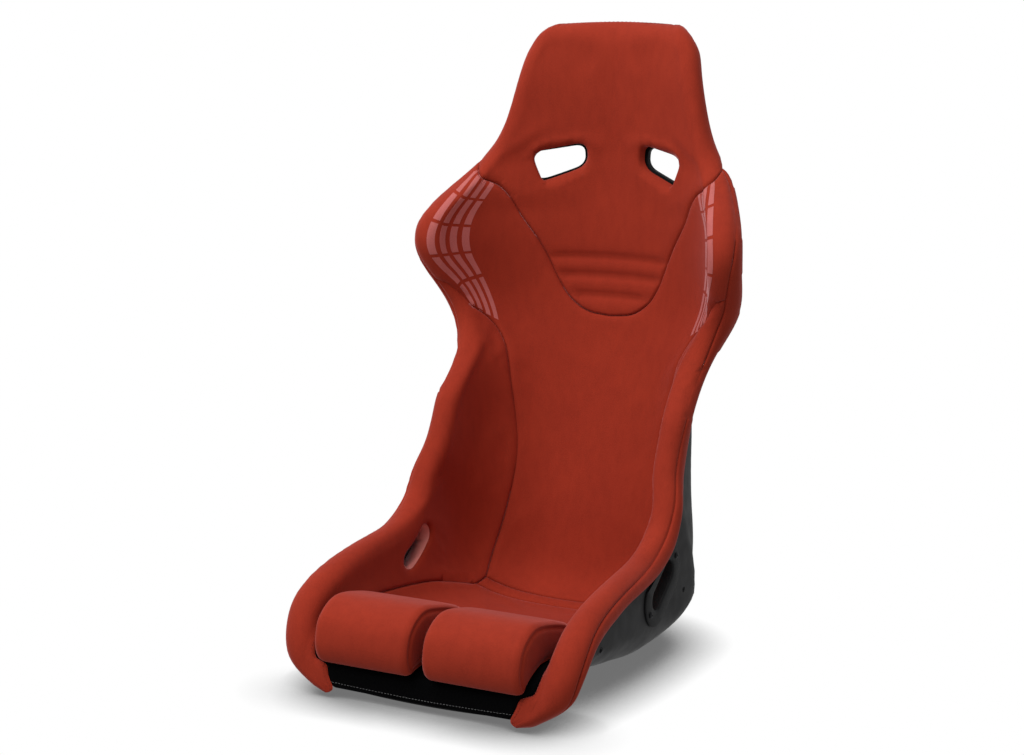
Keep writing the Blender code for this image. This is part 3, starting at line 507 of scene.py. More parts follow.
def add_mesh(name, points, faces, finish, sharp=None):
    """A new object from a closed mesh, turned to face outwards."""
    mesh = plain_mesh(name, points, faces)
    shape = bmesh.new()
    shape.from_mesh(mesh)
    if shape.calc_volume(signed=True) < 0:
        bmesh.ops.reverse_faces(shape, faces=shape.faces)
    shape.to_mesh(mesh)
    shape.free()
    mesh.materials.append(finish)
    mesh.shade_smooth()
    if sharp:
        mesh.set_sharp_from_angle(angle=radians(sharp))
    return placed(name, mesh)


def settle(piece, body, node=None):
    """Rides the piece on its body, and hides the CAD node that it stands for."""
    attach(piece, body)
    if node:
        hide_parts(node)
    return piece


def unrolled(points):
    """(s, t) laid out flat at about true scale."""
    t = np.abs(points[:, 1])
    across = PER_T[0] * np.minimum(t, 1) + PER_T[1] * np.maximum(t - 1, 0)
    return np.stack([points[:, 0] * PER_S, np.sign(points[:, 1]) * across], -1)


def rolled(flat):
    across = np.abs(flat[:, 1])
    t = np.where(across < PER_T[0], across / PER_T[0], 1 + (across - PER_T[0]) / PER_T[1])
    return np.stack([flat[:, 0] / PER_S, np.sign(flat[:, 1]) * t], -1)


T_TABLE = np.linspace(0, 2.3, 116)


def even_grid(low, high, spacing):
    """(s, t) points in staggered rows, evenly spaced on the cloth."""
    rows = []
    for i, s in enumerate(np.arange(low, high, spacing * 0.87 / PER_S)):
        along = lengths(cloth(s, T_TABLE))
        t = np.interp(np.arange((i % 2) * spacing / 2, along[-1], spacing), along, T_TABLE)
        rows.append(np.stack([np.full(len(t), s), t], -1))
        rows.append(np.stack([np.full(len(t), s), -t], -1)[t > 0])
    return np.concatenate(rows)


def meshed(loops, spacing, rings=()):
    """(s, t) points and triangles that fill the first loop and leave out the others."""
    edge_lines = [cloth(*loop.T) for loop in loops]
    grid = even_grid(loops[0][:, 0].min(), loops[0][:, 0].max(), spacing)
    grid = grid[filled(grid, loops)]
    for line in edge_lines:
        grid = grid[distance(cloth(*grid.T), line) > max(rings, default=0) + spacing * 0.6]
    extra = [grid]
    for ring in rings:
        for index, loop in enumerate(loops):
            row = moved(loop, cloth, ring if index == 0 else -ring)
            clear = np.min([distance(cloth(*row.T), line) for line in edge_lines], axis=0) > ring * 0.9
            extra.append(row[clear & filled(row, loops)])
    points, edges = [], []
    for loop in loops:
        start = len(points)
        points += list(loop)
        edges += [(start + i, start + (i + 1) % len(loop)) for i in range(len(loop))]
    points = np.concatenate([np.array(points), *extra])
    flat = [Vector(p) for p in unrolled(points)]
    found, _, faces, _, _, _ = delaunay_2d_cdt(flat, edges, [], 1, 1e-6)
    found = rolled(np.array([(v.x, v.y) for v in found]))
    keep = filled(np.array([found[list(face)].mean(0) for face in faces]), loops)
    return found, [tuple(face) for face, kept in zip(faces, keep) if kept]


def rim_of(faces):
    """The directed edges that only one face uses."""
    uses = {(a, b) for face in faces for a, b in zip(face, face[1:] + face[:1])}
    return [(a, b) for a, b in uses if (b, a) not in uses]


def woven(rows, count, closed_rows=True, closed_ends=False, start=0):
    """Quads between rows of count points. A row may close on itself, and the last may join the first."""
    faces = []
    for r in range(rows if closed_ends else rows - 1):
        here, below = start + r * count, start + (r + 1) % rows * count
        for k in range(count if closed_rows else count - 1):
            after = (k + 1) % count
            faces.append((here + k, here + after, below + after, below + k))
    return faces


def thick(faces, count):
    """The faces of a thin solid: a skin's own, its back's, which are count points on, and the wall's."""
    back = [tuple(i + count for i in reversed(face)) for face in faces]
    return faces + back + [(b, a, a + count, b + count) for a, b in rim_of(faces)]


def nearest(places, among):
    """For each (s, t) place, the index of the closest one among others."""
    return np.array([np.argmin(((among - place) ** 2 * (1, 400)).sum(1)) for place in places])


def closed_by(front_flat, front, front_faces, back_flat, back, back_faces, front_rim=None, back_rim=None):
    """A solid between a front skin and a coarser back skin, joined along their outlines."""
    count = len(front)
    edges = rim_of(front_faces)
    rim = sorted({i for edge in edges for i in edge})
    places = front_flat[rim]
    if front_rim is not None:
        places = back_rim[nearest(places, front_rim)]
    there = dict(zip(rim, nearest(places, back_flat) + count))
    faces = list(front_faces) + [tuple(i + count for i in reversed(face)) for face in back_faces]
    for a, b in edges:
        faces += [(b, a, there[a]), (b, there[a], there[b])]
    return np.concatenate([front, back]), faces


def seam_drop(gap):
    """How far the cloth sinks at a distance from its seam: a quarter of an ellipse."""
    x = np.clip(gap / SEAM_ROUND, 0, 1)
    return SEAM_DEPTH * (1 - np.sqrt(1 - (1 - x) ** 2))


# ---- Cloth simulation

def inflated(points, faces, pinned, pressure, cap):
    """The skin after cloth simulation: pressure swells it between its pinned seams, by no more than cap."""
    work = placed("simulated", plain_mesh("simulated", points, faces))
    group = work.vertex_groups.new(name="seam")
    group.add([int(i) for i in pinned], 1.0, "REPLACE")
    modifier = work.modifiers.new("cloth", "CLOTH")
    settings = modifier.settings
    settings.quality = 4
    settings.mass = 0.3
    settings.tension_stiffness = settings.compression_stiffness = CLOTH_STIFFNESS
    settings.shear_stiffness = CLOTH_STIFFNESS / 2
    settings.bending_stiffness = 0.8
    settings.air_damping = 2
    settings.use_pressure = True
    settings.uniform_pressure_force = pressure
    settings.vertex_group_mass = "seam"
    settings.effector_weights.gravity = 0
    modifier.collision_settings.use_collision = False
    modifier.point_cache.frame_start = 1
    modifier.point_cache.frame_end = CLOTH_FRAMES
    scene = bpy.context.scene
    for number in range(1, CLOTH_FRAMES + 1):
        scene.frame_set(number)
    done = work.evaluated_get(bpy.context.evaluated_depsgraph_get())
    after = np.empty(len(points) * 3, np.float32)
    done.data.vertices.foreach_get("co", after)
    bpy.data.meshes.remove(work.data)
    scene.frame_set(1)
    move = after.reshape(-1, 3).astype(float) - points
    size = np.linalg.norm(move, axis=1)[:, None]
    return points + move * np.tanh(size / cap) * cap / np.maximum(size, 1e-9)


# ---- Materials

def node_tree(name):
    made = bpy.data.materials.new(name)
    made.use_nodes = True
    return made, made.node_tree, made.node_tree.nodes["Principled BSDF"]


def set_inputs(node, **inputs):
    for label, value in inputs.items():
        node.inputs[label.replace("_", " ")].default_value = value
    return node


def add_node(tree, kind, **inputs):
    return set_inputs(tree.nodes.new("ShaderNode" + kind), **inputs)


def noise(tree, scale, detail=2.0, rough=0.5, stretch_by=None):
    """A noise texture in the seat's own metres, with the scale in features per metre."""
    place = add_node(tree, "TexCoord").outputs["Object"]
    texture = add_node(tree, "TexNoise", Scale=scale, Detail=detail, Roughness=rough)
    if stretch_by:
        mapping = add_node(tree, "Mapping", Scale=stretch_by)
        tree.links.new(place, mapping.inputs["Vector"])
        place = mapping.outputs["Vector"]
    tree.links.new(place, texture.inputs["Vector"])
    return texture.outputs["Fac"]


def ranged(tree, value, low, high, from_low=0.3, from_high=0.7):
    node = add_node(tree, "MapRange")
    for index, number in ((1, from_low), (2, from_high), (3, low), (4, high)):
        node.inputs[index].default_value = number
    tree.links.new(value, node.inputs[0])
    return node.outputs[0]


def times(tree, a, b):
    node = add_node(tree, "Math")
    node.operation = "MULTIPLY"
    tree.links.new(a, node.inputs[0])
    tree.links.new(b, node.inputs[1])
    return node.outputs[0]


def blended(tree, factor, low, high):
    """A colour between two, by a factor."""
    node = add_node(tree, "Mix")
    node.data_type = "RGBA"
    tree.links.new(factor, node.inputs["Factor"])
    for socket, value in ((node.inputs[6], low), (node.inputs[7], high)):
        if isinstance(value, tuple):
            socket.default_value = (*value, 1)
        else:
            tree.links.new(value, socket)
    return node.outputs[2]


def bumped(tree, shader, *layers):
    """Bump layers of (height, distance in metres, strength), one on another."""
    last = None
    for height, reach, strength in layers:
        bump = add_node(tree, "Bump", Strength=strength, Distance=reach)
        tree.links.new(height, bump.inputs["Height"])
        if last:
            tree.links.new(last, bump.inputs["Normal"])
        last = bump.outputs["Normal"]
    tree.links.new(last, shader.inputs["Normal"])


def velour(name, dark, light, sheen_tint, sheen):
    """Short-pile fabric: a brushed nap that varies in tone, single fibres, and a soft sheen."""
    made, tree, shader = node_tree(name)
    nap = ranged(tree, noise(tree, 14, 3), 0.30, 0.70)
    brushed = ranged(tree, noise(tree, 90, 2, stretch_by=(1, 1, 0.35)), 0, 1)
    fibre = noise(tree, 1500, 2, 0.7)
    pile = noise(tree, 520, 3, 0.6)
    base = blended(tree, nap, dark, light)
    rubbed = blended(tree, ranged(tree, fibre, 0, 0.42, 0.35, 0.7), base, tuple(c * 1.45 for c in light))
    streaked = blended(tree, times(tree, brushed, ranged(tree, pile, 0, 0.32)), rubbed,
                       tuple(c * 0.62 for c in dark))
    tree.links.new(streaked, shader.inputs["Base Color"])
    set_inputs(shader, Roughness=0.92, Specular_IOR_Level=0.14, Sheen_Weight=sheen, Sheen_Roughness=0.32,
               Sheen_Tint=(*sheen_tint, 1))
    bumped(tree, shader, (pile, 0.0006, 0.30), (fibre, 0.0003, 0.35), (nap, 0.0010, 0.08))
    return made


def loop_pile(name, scale):
    """Black fabric for hook-and-loop tape: matt, fuzzy and nearly without sheen."""
    made, tree, shader = node_tree(name)
    curls = noise(tree, scale, 3, 0.7)
    colour = blended(tree, ranged(tree, curls, 0, 1), (0.0008, 0.0008, 0.0009), (0.0040, 0.0040, 0.0044))
    tree.links.new(colour, shader.inputs["Base Color"])
    set_inputs(shader, Roughness=1.0, Specular_IOR_Level=0.02)
    bumped(tree, shader, (curls, 0.0008, 0.5))
    return made


def open_foam():
    """Raw foam, yellowish grey with open cells."""
    made, tree, shader = node_tree("open_foam")
    cells = noise(tree, 1100, 3, 0.7)
    tree.links.new(blended(tree, ranged(tree, cells, 0, 1), (0.16, 0.15, 0.11), (0.40, 0.37, 0.29)),
                   shader.inputs["Base Color"])
    set_inputs(shader, Roughness=1.0)
    bumped(tree, shader, (cells, 0.0010, 0.6))
    return made


def gel_coat():
    """Black satin gel coat, slightly uneven, with the laminate's weave just showing."""
    made, tree, shader = node_tree("shell_gel_coat")
    cloudy = ranged(tree, noise(tree, 7, 3), 0, 1)
    weave = noise(tree, 420, 1, 0.4, stretch_by=(1, 1, 0.25))
    colour = blended(tree, cloudy, (0.0075, 0.0075, 0.0082), (0.0115, 0.0115, 0.0125))
    tree.links.new(colour, shader.inputs["Base Color"])
    tree.links.new(ranged(tree, noise(tree, 30, 4), 0.40, 0.52), shader.inputs["Roughness"])
    set_inputs(shader, Specular_IOR_Level=0.19)
    bumped(tree, shader, (noise(tree, 55, 2), 0.0012, 0.12), (weave, 0.0002, 0.10))
    return made


def moulded_plastic():
    made, tree, shader = node_tree("bezel_plastic")
    grain = noise(tree, 1300, 2, 0.6)
    cloudy = ranged(tree, noise(tree, 40, 3), 0, 1)
    colour = blended(tree, cloudy, (0.008, 0.008, 0.009), (0.014, 0.014, 0.015))
    tree.links.new(colour, shader.inputs["Base Color"])
    tree.links.new(ranged(tree, grain, 0.42, 0.58), shader.inputs["Roughness"])
    set_inputs(shader, Specular_IOR_Level=0.16)
    bumped(tree, shader, (grain, 0.0003, 0.35))
    return made


def metal(name, colour, rough_low, rough_high):
    made, tree, shader = node_tree(name)
    turned_marks = noise(tree, 300, 2, 0.5, stretch_by=(6, 1, 1))
    tree.links.new(blended(tree, ranged(tree, turned_marks, 0, 1), tuple(c * 0.8 for c in colour), colour),
                   shader.inputs["Base Color"])
    tree.links.new(ranged(tree, noise(tree, 800, 3), rough_low, rough_high), shader.inputs["Roughness"])
    set_inputs(shader, Metallic=1.0)
    bumped(tree, shader, (turned_marks, 0.0001, 0.3))
    return made


RED = velour("red_velour", (0.250, 0.0220, 0.0105), (0.330, 0.0320, 0.0135), (1.0, 0.42, 0.42), 0.5)
PRINT = velour("printed_velour", (0.43, 0.105, 0.095), (0.48, 0.130, 0.118), (1.0, 0.75, 0.80), 0.6)
# The pale lining of the belt openings is a painted highlight: light catching the sheen of the velour's cut
# edge, put into its colour.
PAINTED_HIGHLIGHT_LINING = velour("pale_velour_painted_highlight", (0.80, 0.25, 0.21), (0.88, 0.30, 0.26), (1.0, 0.75, 0.80), 0.8)
THREAD = velour("thread", (0.16, 0.014, 0.010), (0.24, 0.022, 0.014), (1.0, 0.5, 0.45), 0.4)
GREY_THREAD = velour("grey_thread", (0.10, 0.10, 0.10), (0.16, 0.16, 0.16), (1.0, 1.0, 1.0), 0.3)
LOOP = loop_pile("black_loop", 900)
HOOK = loop_pile("black_hook", 700)
FOAM = open_foam()
SHELL = gel_coat()
PLASTIC = moulded_plastic()
DULL_STEEL = metal("dull_steel", (0.10, 0.10, 0.105), 0.40, 0.60)
BLACK_STEEL = metal("black_oxide", (0.035, 0.035, 0.037), 0.30, 0.50)


# ---- Panels

def smooth_step(x):
    x = np.clip(x, 0, 1)
    return x * x * (3 - 2 * x)


PLEATS = (68.9, 67.0, 64.8)     # the sewn pleats of the shield, in s


def pleated(flat, gap):
    """Sewn pleats across the shield: narrow grooves with the padding puffed between them."""
    fade = smooth_step(gap / 0.010)
    height = np.zeros(len(flat))
    for place in PLEATS:
        away = (flat[:, 0] - place) * PER_S
        height -= 0.0034 * np.exp(-(away / 0.0034) ** 2) + 0.0026 * np.exp(-(away / 0.0095) ** 2)
    band = (flat[:, 0] < 71) & (np.abs(flat[:, 1]) < 0.45)
    return np.where(band, height * fade, 0)


def seam_share(s, t):
    """How deep a seam is at a place: less round the outer edge, at the head's top and on the front lip."""
    edge, head = smooth_step((np.abs(t) - 1.4) / 0.3), smooth_step((s - 92) / 4)
    return (1 - 0.45 * np.maximum(edge, head)) * (0.35 + 0.65 * smooth_step((s - 1.5) / 3))


def panel(name, node, outline, holes=(), finish=RED, shape=None, undercut=0.0,
          back_grid=BACK_GRID):
    """A sewn pad cover: a fine skin that sinks into its seams, swelled by simulation, closed behind."""
    loops = [moved(thinned(divided(outline, cloth, 0.0055), cloth, 0.0025), cloth, SEAM_GAP)]
    for hole in holes:
        loops.append(moved(thinned(divided(hole, cloth, 0.005), cloth, 0.002), cloth, -HOLE_MARGIN))
    flat, faces = meshed(loops, PANEL_GRID, PANEL_RINGS)
    base = cloth(*flat.T)
    lines = [cloth(*loop.T) for loop in loops]
    gap = np.min([distance(base, line) for line in lines], axis=0)
    rim = sorted({i for edge in rim_of(faces) for i in edge})
    out = normals(flat)
    skin = base - out * (seam_drop(gap) * seam_share(*flat.T) + PANEL_SWELL / 2)[:, None]
    skin = inflated(skin, faces, rim, 2.0, PANEL_SWELL)
    if shape:
        skin = skin + out * shape(flat, gap)[:, None]
    walls = 2 * len(rim_of(faces))
    back_loops = loops[:1] + [moved(loop, cloth, -undercut) for loop in loops[1:]]
    back_flat, back_faces = meshed(back_loops, back_grid)
    points, faces = closed_by(flat, skin, faces, back_flat, pad_back(*back_flat.T), back_faces,
                              np.concatenate(loops), np.concatenate(back_loops))
    made = add_mesh(name, points, faces, finish, sharp=75)
    if undercut:
        # Wall faces near a belt opening's edge get the pale lining, a painted highlight.
        made.data.materials.append(PAINTED_HIGHLIGHT_LINING)
        for polygon in list(made.data.polygons)[-walls:]:
            near = distance(np.array([polygon.center]), lines[1])[0]
            polygon.material_index = int(near < PAINTED_HIGHLIGHT_REACH)
    return settle(made, "seat", node)


def pads():
    """The fixed pads' covers, by name."""
    made = {}
    holes = [mirrored(HARNESS_LOOP, side) for side, _ in SIDES]
    made["head"] = panel("head_cover", "head_pad", both_halves(joined(SHIELD, curve(HEAD_TOP))), holes,
                         shape=pleated, back_grid=HEAD_BACK_GRID)
    back = joined([(CREASE_REAR, 0), BOLSTER[0]], BOLSTER, WING, SHIELD[::-1])
    made["back"] = panel("back_cover", "back_pad", both_halves(back))
    cut = [i for i, p in enumerate(BASE) if p[0] >= BASE_FRONT][0]
    base = joined([(BASE_FRONT, 0), BASE[cut]], BASE[cut:], [(CREASE_FRONT, 0)])
    made["base"] = panel("base_cover", "base_pad", both_halves(base), [CROTCH_LOOP])
    crease = [(CREASE_FRONT, 0), BASE[-1], BOLSTER[0], (CREASE_REAR, 0)]
    made["crease"] = panel("crease_roll_cover", "crease_roll", both_halves(crease))
    start = [i for i, p in enumerate(BASE) if p[0] > LIP_START][0]
    lip = joined([(LIP_START, 0), (LIP_START, BASE[start][1])], BASE[start:cut + 1], [(BASE[cut][0], 0)])
    made["lip"] = panel("lip_cover_loop", "lip_cover", both_halves(lip), finish=LOOP)
    for side, word in SIDES:
        wall = mirrored(joined(BASE, BOLSTER, WELT[::-1]), side)
        made["bolster_" + word] = panel(f"bolster_cover_{word}", f"bolster_{word}", wall,
                                        [mirrored(BELT_LOOP, side)], undercut=UNDERCUT)
        band = mirrored(joined(WELT, WING, [BAND_CORNER], HEM), side)
        made["band_" + word] = panel(f"edge_band_{word}", f"side_band_{word}", band)
    return made


# ---- The shell and its fittings

def axis_and_ends(node):
    """A screw's or an insert's axis in y and z, and its two ends in x."""
    low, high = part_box(node)
    return ((low[1] + high[1]) / 2, (low[2] + high[2]) / 2), low[0], high[0]


def shell():
    half = [(0.5, 0), (0.5, 1), (SHELL_TOP, 1), (SHELL_TOP, 0)]
    loops = [thinned(divided(both_halves(half), shell_outside, 0.010), shell_outside, 0.003)]
    for side, _ in SIDES:
        loops += [np.array(mirrored(HARNESS_LOOP, side)), np.array(mirrored(BELT_LOOP, side))]
        for end in ("front", "rear"):
            (y, z), _, _ = axis_and_ends(f"side_insert_{end}_right")
            ring = [place_on(shell_outside, y + MOUNT_HOLE_R * cos(a), z + MOUNT_HOLE_R * sin(a))
                    for a in np.arange(20) * pi / 10]
            loops.append(np.array(mirrored(ring, side)))
    loops.append(np.array(CROTCH_LOOP))
    outer_flat, outer_faces = meshed(loops, SHELL_GRID)
    inner_flat, inner_faces = meshed(loops, SHELL_GRID * 2)
    points, faces = closed_by(outer_flat, shell_outside(*outer_flat.T), outer_faces,
                              inner_flat, shell_inside(*inner_flat.T), inner_faces)
    settle(add_mesh("shell_moulding", points, faces, SHELL, sharp=50), "seat", "shell")


def trim(name, node, rows):
    """A plastic trim: each row of points runs round the opening, and the rows go round the section."""
    rows = np.array(rows)
    faces = woven(*rows.shape[:2], closed_ends=True)
    settle(add_mesh(name, rows.reshape(-1, 3), faces, PLASTIC, sharp=40), "seat", node)


def sleeve(name, node, loop, section):
    """A trim round an outline on the shell, its section in rows of (outwards from the opening, depth)."""
    loop = divided(loop, shell_inside, 0.004)
    trim(name, node, [surface(*moved(loop, shell_inside, -outwards).T, depth)
                      for outwards, depth in section])


def bezel_section(flange, thickness, wall, reach):
    """A sleeve through the shell with a rounded flange outside: (outwards from the opening, depth)."""
    face = -LAMINATE / 2 - CLEAR
    lip, back = 0.0007, face - thickness
    return ((-wall, reach - lip), (-wall + lip, reach), (-CLEAR - lip, reach), (-CLEAR, reach - lip),
            (-CLEAR, face), (flange, face), (flange, back + 0.0010), (flange - 0.0006, back + 0.0003),
            (flange - 0.0016, back), (0.0012, back), (-0.0006, back + 0.0004), (-wall, back + 0.0018))


def belt_trim(side, word):
    face, top, inner = SIDE_PLANE + CLEAR, SIDE_PLANE + CLEAR + 0.0024, SIDE_PLANE + CLEAR - BELT_SLEEVE
    section = ((-0.003, inner + 0.0007), (-0.0023, inner), (-0.0011, inner), (-CLEAR, inner + 0.0007),
               (-CLEAR, face), (BELT_RIM, face), (BELT_RIM, top - 0.0012),
               (BELT_RIM - 0.0006, top - 0.0005), (BELT_RIM - 0.0018, top), (0.0015, top),
               (-0.0010, top - 0.0005), (-0.0024, top - 0.0014), (-0.003, top - 0.0030))
    rows = [[(side * x, y, min(z, BELT_TOP[0] + outwards / 22 + BELT_TOP[1] * (y - BELT_OPENING[0])))
             for y, z in stadium(BELT_OPENING, BELT_SLOPE, BELT_HALF, BELT_R + outwards, 28)]
            for outwards, x in section]
    trim(f"belt_trim_{word}", f"belt_bezel_{word}", rows)


def bezels():
    for side, word in SIDES:
        sleeve(f"harness_trim_{word}", f"harness_bezel_{word}", mirrored(HARNESS_LOOP, side),
               bezel_section(0.005, 0.002, 0.0016, 0.004))
        belt_trim(side, word)
    sleeve("crotch_trim", "crotch_bezel", CROTCH_LOOP,
           ((-0.0025, 0.0074), (-0.0019, 0.008), (-0.0009, 0.008), (-CLEAR, 0.0074),
            (-CLEAR, -LAMINATE / 2), (-0.0025, -LAMINATE / 2)))


def turned(rows, place, side, parts=28, closed=True, corners=()):
    """Points and faces turned about a line along X: each row is (x, radius), hexagonal if in corners."""
    points = []
    for index, (x, radius) in enumerate(rows):
        for k in range(parts):
            turn = 2 * pi * k / parts
            reach = radius / cos((turn + pi / 6) % (pi / 3) - pi / 6) if index in corners else radius
            points.append((side * x, place[0] + reach * cos(turn), place[1] + reach * sin(turn)))
    faces = woven(len(rows), parts, closed_ends=closed)
    if not closed:
        faces += [tuple(range(parts)), tuple(reversed(range(len(points) - parts, len(points))))]
    return points, faces


def fasteners():
    """Button-head screws with hexagon recesses in the belt bezels, and the threaded inserts."""
    for side, word in SIDES:
        for end in ("front", "rear"):
            place, low, top = axis_and_ends(f"bezel_screw_{end}_right")
            base = top - 0.0022
            rows = ((low, 0.0017), (low + 0.0006, 0.0020), (base, 0.0020), (base, 0.0044),
                    (base + 0.0005, 0.0045), (base + 0.0011, 0.0042), (base + 0.0017, 0.0034),
                    (base + 0.0021, 0.0026), (top, 0.0018), (top - 0.0002, 0.00125),
                    (top - 0.0014, 0.00125))
            points, faces = turned(rows, place, side, 30, False, (9, 10))
            made = add_mesh(f"belt_trim_screw_{end}_{word}", points, faces, BLACK_STEEL, sharp=35)
            settle(made, "seat", f"bezel_screw_{end}_{word}")
            place, low, high = axis_and_ends(f"side_insert_{end}_right")
            face, thread = high - 0.0006, []
            for k in range(int((face - low - 0.0008) / THREAD_PITCH)):
                thread += [(low + 0.0004 + k * THREAD_PITCH, 0.0042),
                           (low + 0.0004 + (k + 0.5) * THREAD_PITCH, 0.0038)]
            rows = ((face, 0.0046), (face, 0.0080), (low + 0.0014, 0.0082), (low + 0.0014, 0.0110),
                    (low + 0.0003, 0.0110), (low, 0.0107), (low, 0.0044), *thread)
            made = add_mesh(f"thread_insert_{end}_{word}", *turned(rows, place, side), DULL_STEEL, sharp=40)
            settle(made, "seat", f"side_insert_{end}_{word}")


# ---- Thigh cushions

def cushion_rows():
    """The rings at a cushion's end: (distance from the end, inset from the profile, sewn or not)."""
    seam = radians(62)
    rows = [(0.0020, 0.016, 0), (0.0014, 0.0120, 0), (0.0052, CUSHION_ROLL * (1 - cos(seam)) + 0.0014, 1)]
    for degrees in (52, 42, 31, 20, 10, 0):
        turn = radians(degrees)
        rows.append((CUSHION_ROLL * (1 - sin(turn)), CUSHION_ROLL * (1 - cos(turn)), 0))
    return rows


def floor_tree():
    """The cloth of the seat's floor, for the cushions to rest on."""
    s, t = np.linspace(0.5, 24, 60), np.linspace(-0.98, 0.98, 61)
    grid = cloth(*np.meshgrid(s, t, indexing="ij")).reshape(-1, 3)
    return BVHTree.FromPolygons([Vector(p) for p in grid], woven(60, 61, closed_rows=False))


def cushion_rings(side, floor):
    """The closed lines of a cushion's skin from end to end, raised where they would sink into the floor."""
    line = evenly(closed_curve(CUSHION_PROFILE), CUSHION_POINTS)
    edge = np.roll(line, -1, 0) - np.roll(line, 1, 0)
    out = np.stack([edge[:, 1], -edge[:, 0]], -1) / np.linalg.norm(edge, axis=1)[:, None]
    centre = line.mean(0)
    if np.sum(out * (line - centre)) < 0:
        out = -out
    low, high = CUSHION_X
    ends = cushion_rows()
    rows = [(low + x, inset, sewn) for x, inset, sewn in ends]
    rows += [(x, 0, 0) for x in np.linspace(low + CUSHION_ROLL, high - CUSHION_ROLL, 17)[1:-1]]
    rows += [(high - x, inset, sewn) for x, inset, sewn in reversed(ends)]
    first = line - out * rows[0][1]
    inner = [(x, centre + (first - centre) * share) for x, share in ((0.0012, 0.66), (0.0008, 0.33))]
    loops = [(low + x, loop) for x, loop in reversed(inner)]
    loops += [(x, line - out * inset) for x, inset, _ in rows]
    loops += [(high - x, loop) for x, loop in inner]
    points = []
    for x, loop in loops:
        for y, z in loop:
            hit = floor.ray_cast(Vector((side * x, y, 0.3)), Vector((0, 0, -1)))[0]
            points.append((side * x, y, max(z, hit[2] + CUSHION_LIFT) if hit else z))
    return np.array(points), [len(inner) + i for i, row in enumerate(rows) if row[2]]


def outward(points, faces):
    """The faces of a closed skin, turned to face outwards."""
    shape = bmesh.new()
    corners = [shape.verts.new(p) for p in points]
    for face in faces:
        shape.faces.new([corners[i] for i in face])
    inward = shape.calc_volume(signed=True) < 0
    shape.free()
    return [tuple(reversed(face)) for face in faces] if inward else faces


def cushion(side, word, floor):
    """A loose cushion: a sewn cover, open underneath, and its foam."""
    points, seams = cushion_rings(side, floor)
    count, total = CUSHION_POINTS, len(points) // CUSHION_POINTS
    low_hub, high_hub, last = total * count, total * count + 1, (total - 1) * count
    points = np.concatenate([points, [points[:count].mean(0)], [points[-count:].mean(0)]])
    faces = woven(total, count)
    faces += [(k, low_hub, (k + 1) % count) for k in range(count)]
    faces += [(last + k, last + (k + 1) % count, high_hub) for k in range(count)]
    faces = outward(points, faces)
    pinned = {r * count + k for r in seams for k in range(count)}
    pinned |= {i for i, p in enumerate(points) if p[2] < CUSHION_PINNED}
    skin = inflated(points, faces, sorted(pinned), 2.5, CUSHION_SWELL)
    middle = points[total // 2 * count:][:count]
    under = (middle[:, 2] < MOUTH_HEIGHT) & (middle[:, 1] > MOUTH_FRONT)
    mouth = {r * count + k for r in range(MOUTH_ENDS, total - 1 - MOUTH_ENDS) for k in range(count)
             if under[k] and under[(k + 1) % count]}
    kept = [face for i, face in enumerate(faces) if i not in mouth]
    layers = np.concatenate([skin, skin - skin_normals(skin, faces) * CUSHION_CLOTH])
    cover = add_mesh(f"cushion_cover_{word}", layers, thick(kept, len(skin)), RED)
    smooth = cover.modifiers.new("smooth", "SUBSURF")
    smooth.levels = smooth.render_levels = 1
    settle(cover, f"thigh_cushion_{word}", f"thigh_cover_{word}")
    heart = (skin.max(0) + skin.min(0)) / 2
    core = add_mesh(f"cushion_foam_{word}", heart + (skin - heart) * FOAM_SHARE, faces, FOAM)
    settle(core, f"thigh_cushion_{word}", f"thigh_foam_{word}")


def skin_normals(points, faces):
    """Unit normals at the points of a closed skin."""
    out = np.zeros_like(points)
    for face in faces:
        corner = points[list(face)]
        across = np.cross(corner[1] - corner[0], corner[-1] - corner[0])
        for i in face:
            out[i] += across
    return out / np.maximum(np.linalg.norm(out, axis=1), 1e-12)[:, None]


def hook_strips():
    """The hook tape under each cushion, with rounded corners."""
    for side, word in SIDES:
        loop = divided(rounded(mirrored(HOOK_STRIP, side), cloth, 0.006), cloth, 0.006)
        flat, faces = meshed([loop], 0.009)
        base = cloth(*flat.T)
        points = np.concatenate([base + (0, 0, 0.0030), base + (0, 0, 0.0014)])
        made = add_mesh(f"hook_tape_{word}", points, thick(faces, len(base)), HOOK, sharp=40)
        settle(made, f"thigh_cushion_{word}", f"hook_strip_{word}")


# ---- Prints and stitches

def skin_tree(pieces):
    """A search tree of the finished covers."""
    points, faces = [], []
    for piece in pieces:
        start = len(points)
        points += [v.co.copy() for v in piece.data.vertices]
        faces += [tuple(i + start for i in polygon.vertices) for polygon in piece.data.polygons]
    return BVHTree.FromPolygons(points, faces)


def on_skin(tree, flat):
    """Points on the finished covers at (s, t) places, and the outward normals there."""
    found, out = cloth(*flat.T), normals(flat)
    for i, (point, way) in enumerate(zip(found, out)):
        hit = tree.ray_cast(Vector(point + way * 0.02), Vector(-way), 0.05)[0]
        if hit:
            found[i] = hit
    return found, out


def across(start, end, shares):
    """Places between two (s, t) places, spaced by their distance on the cloth."""
    line = start + (end - start) * np.linspace(0, 1, 40)[:, None]
    along = lengths(cloth(*line.T))
    return read_off(shares * along[-1], along, line)


def prints(covers):
    """Five rows of four curved blocks on each shoulder, thin as a transfer print."""
    outer, inner = [np.array(curve(line, 12)) for line in (PRINT_OUTER, PRINT_INNER)]
    rows = np.linspace(0, len(PRINT_OUTER) - 1, len(outer))
    tree = skin_tree(covers)
    for side, word in SIDES:
        points, faces = [], []
        for row in range(5):
            v = row + np.linspace(0.05, 0.95, 13)
            for stripe in range(4):
                u = (stripe + np.linspace(0.0, 0.58, 6)) / 3.58
                ends = zip(read_off(v, rows, outer), read_off(v, rows, inner))
                flat = np.array([across(a, b, u) for a, b in ends]).reshape(-1, 2) * (1, side)
                place, out = on_skin(tree, flat)
                faces += thick(woven(13, 6, closed_rows=False, start=len(points)), len(place))
                points += list(place + out * 0.00035) + list(place - out * 0.0008)
        settle(add_mesh(f"shoulder_print_{word}", points, faces, PRINT, sharp=50), "seat")


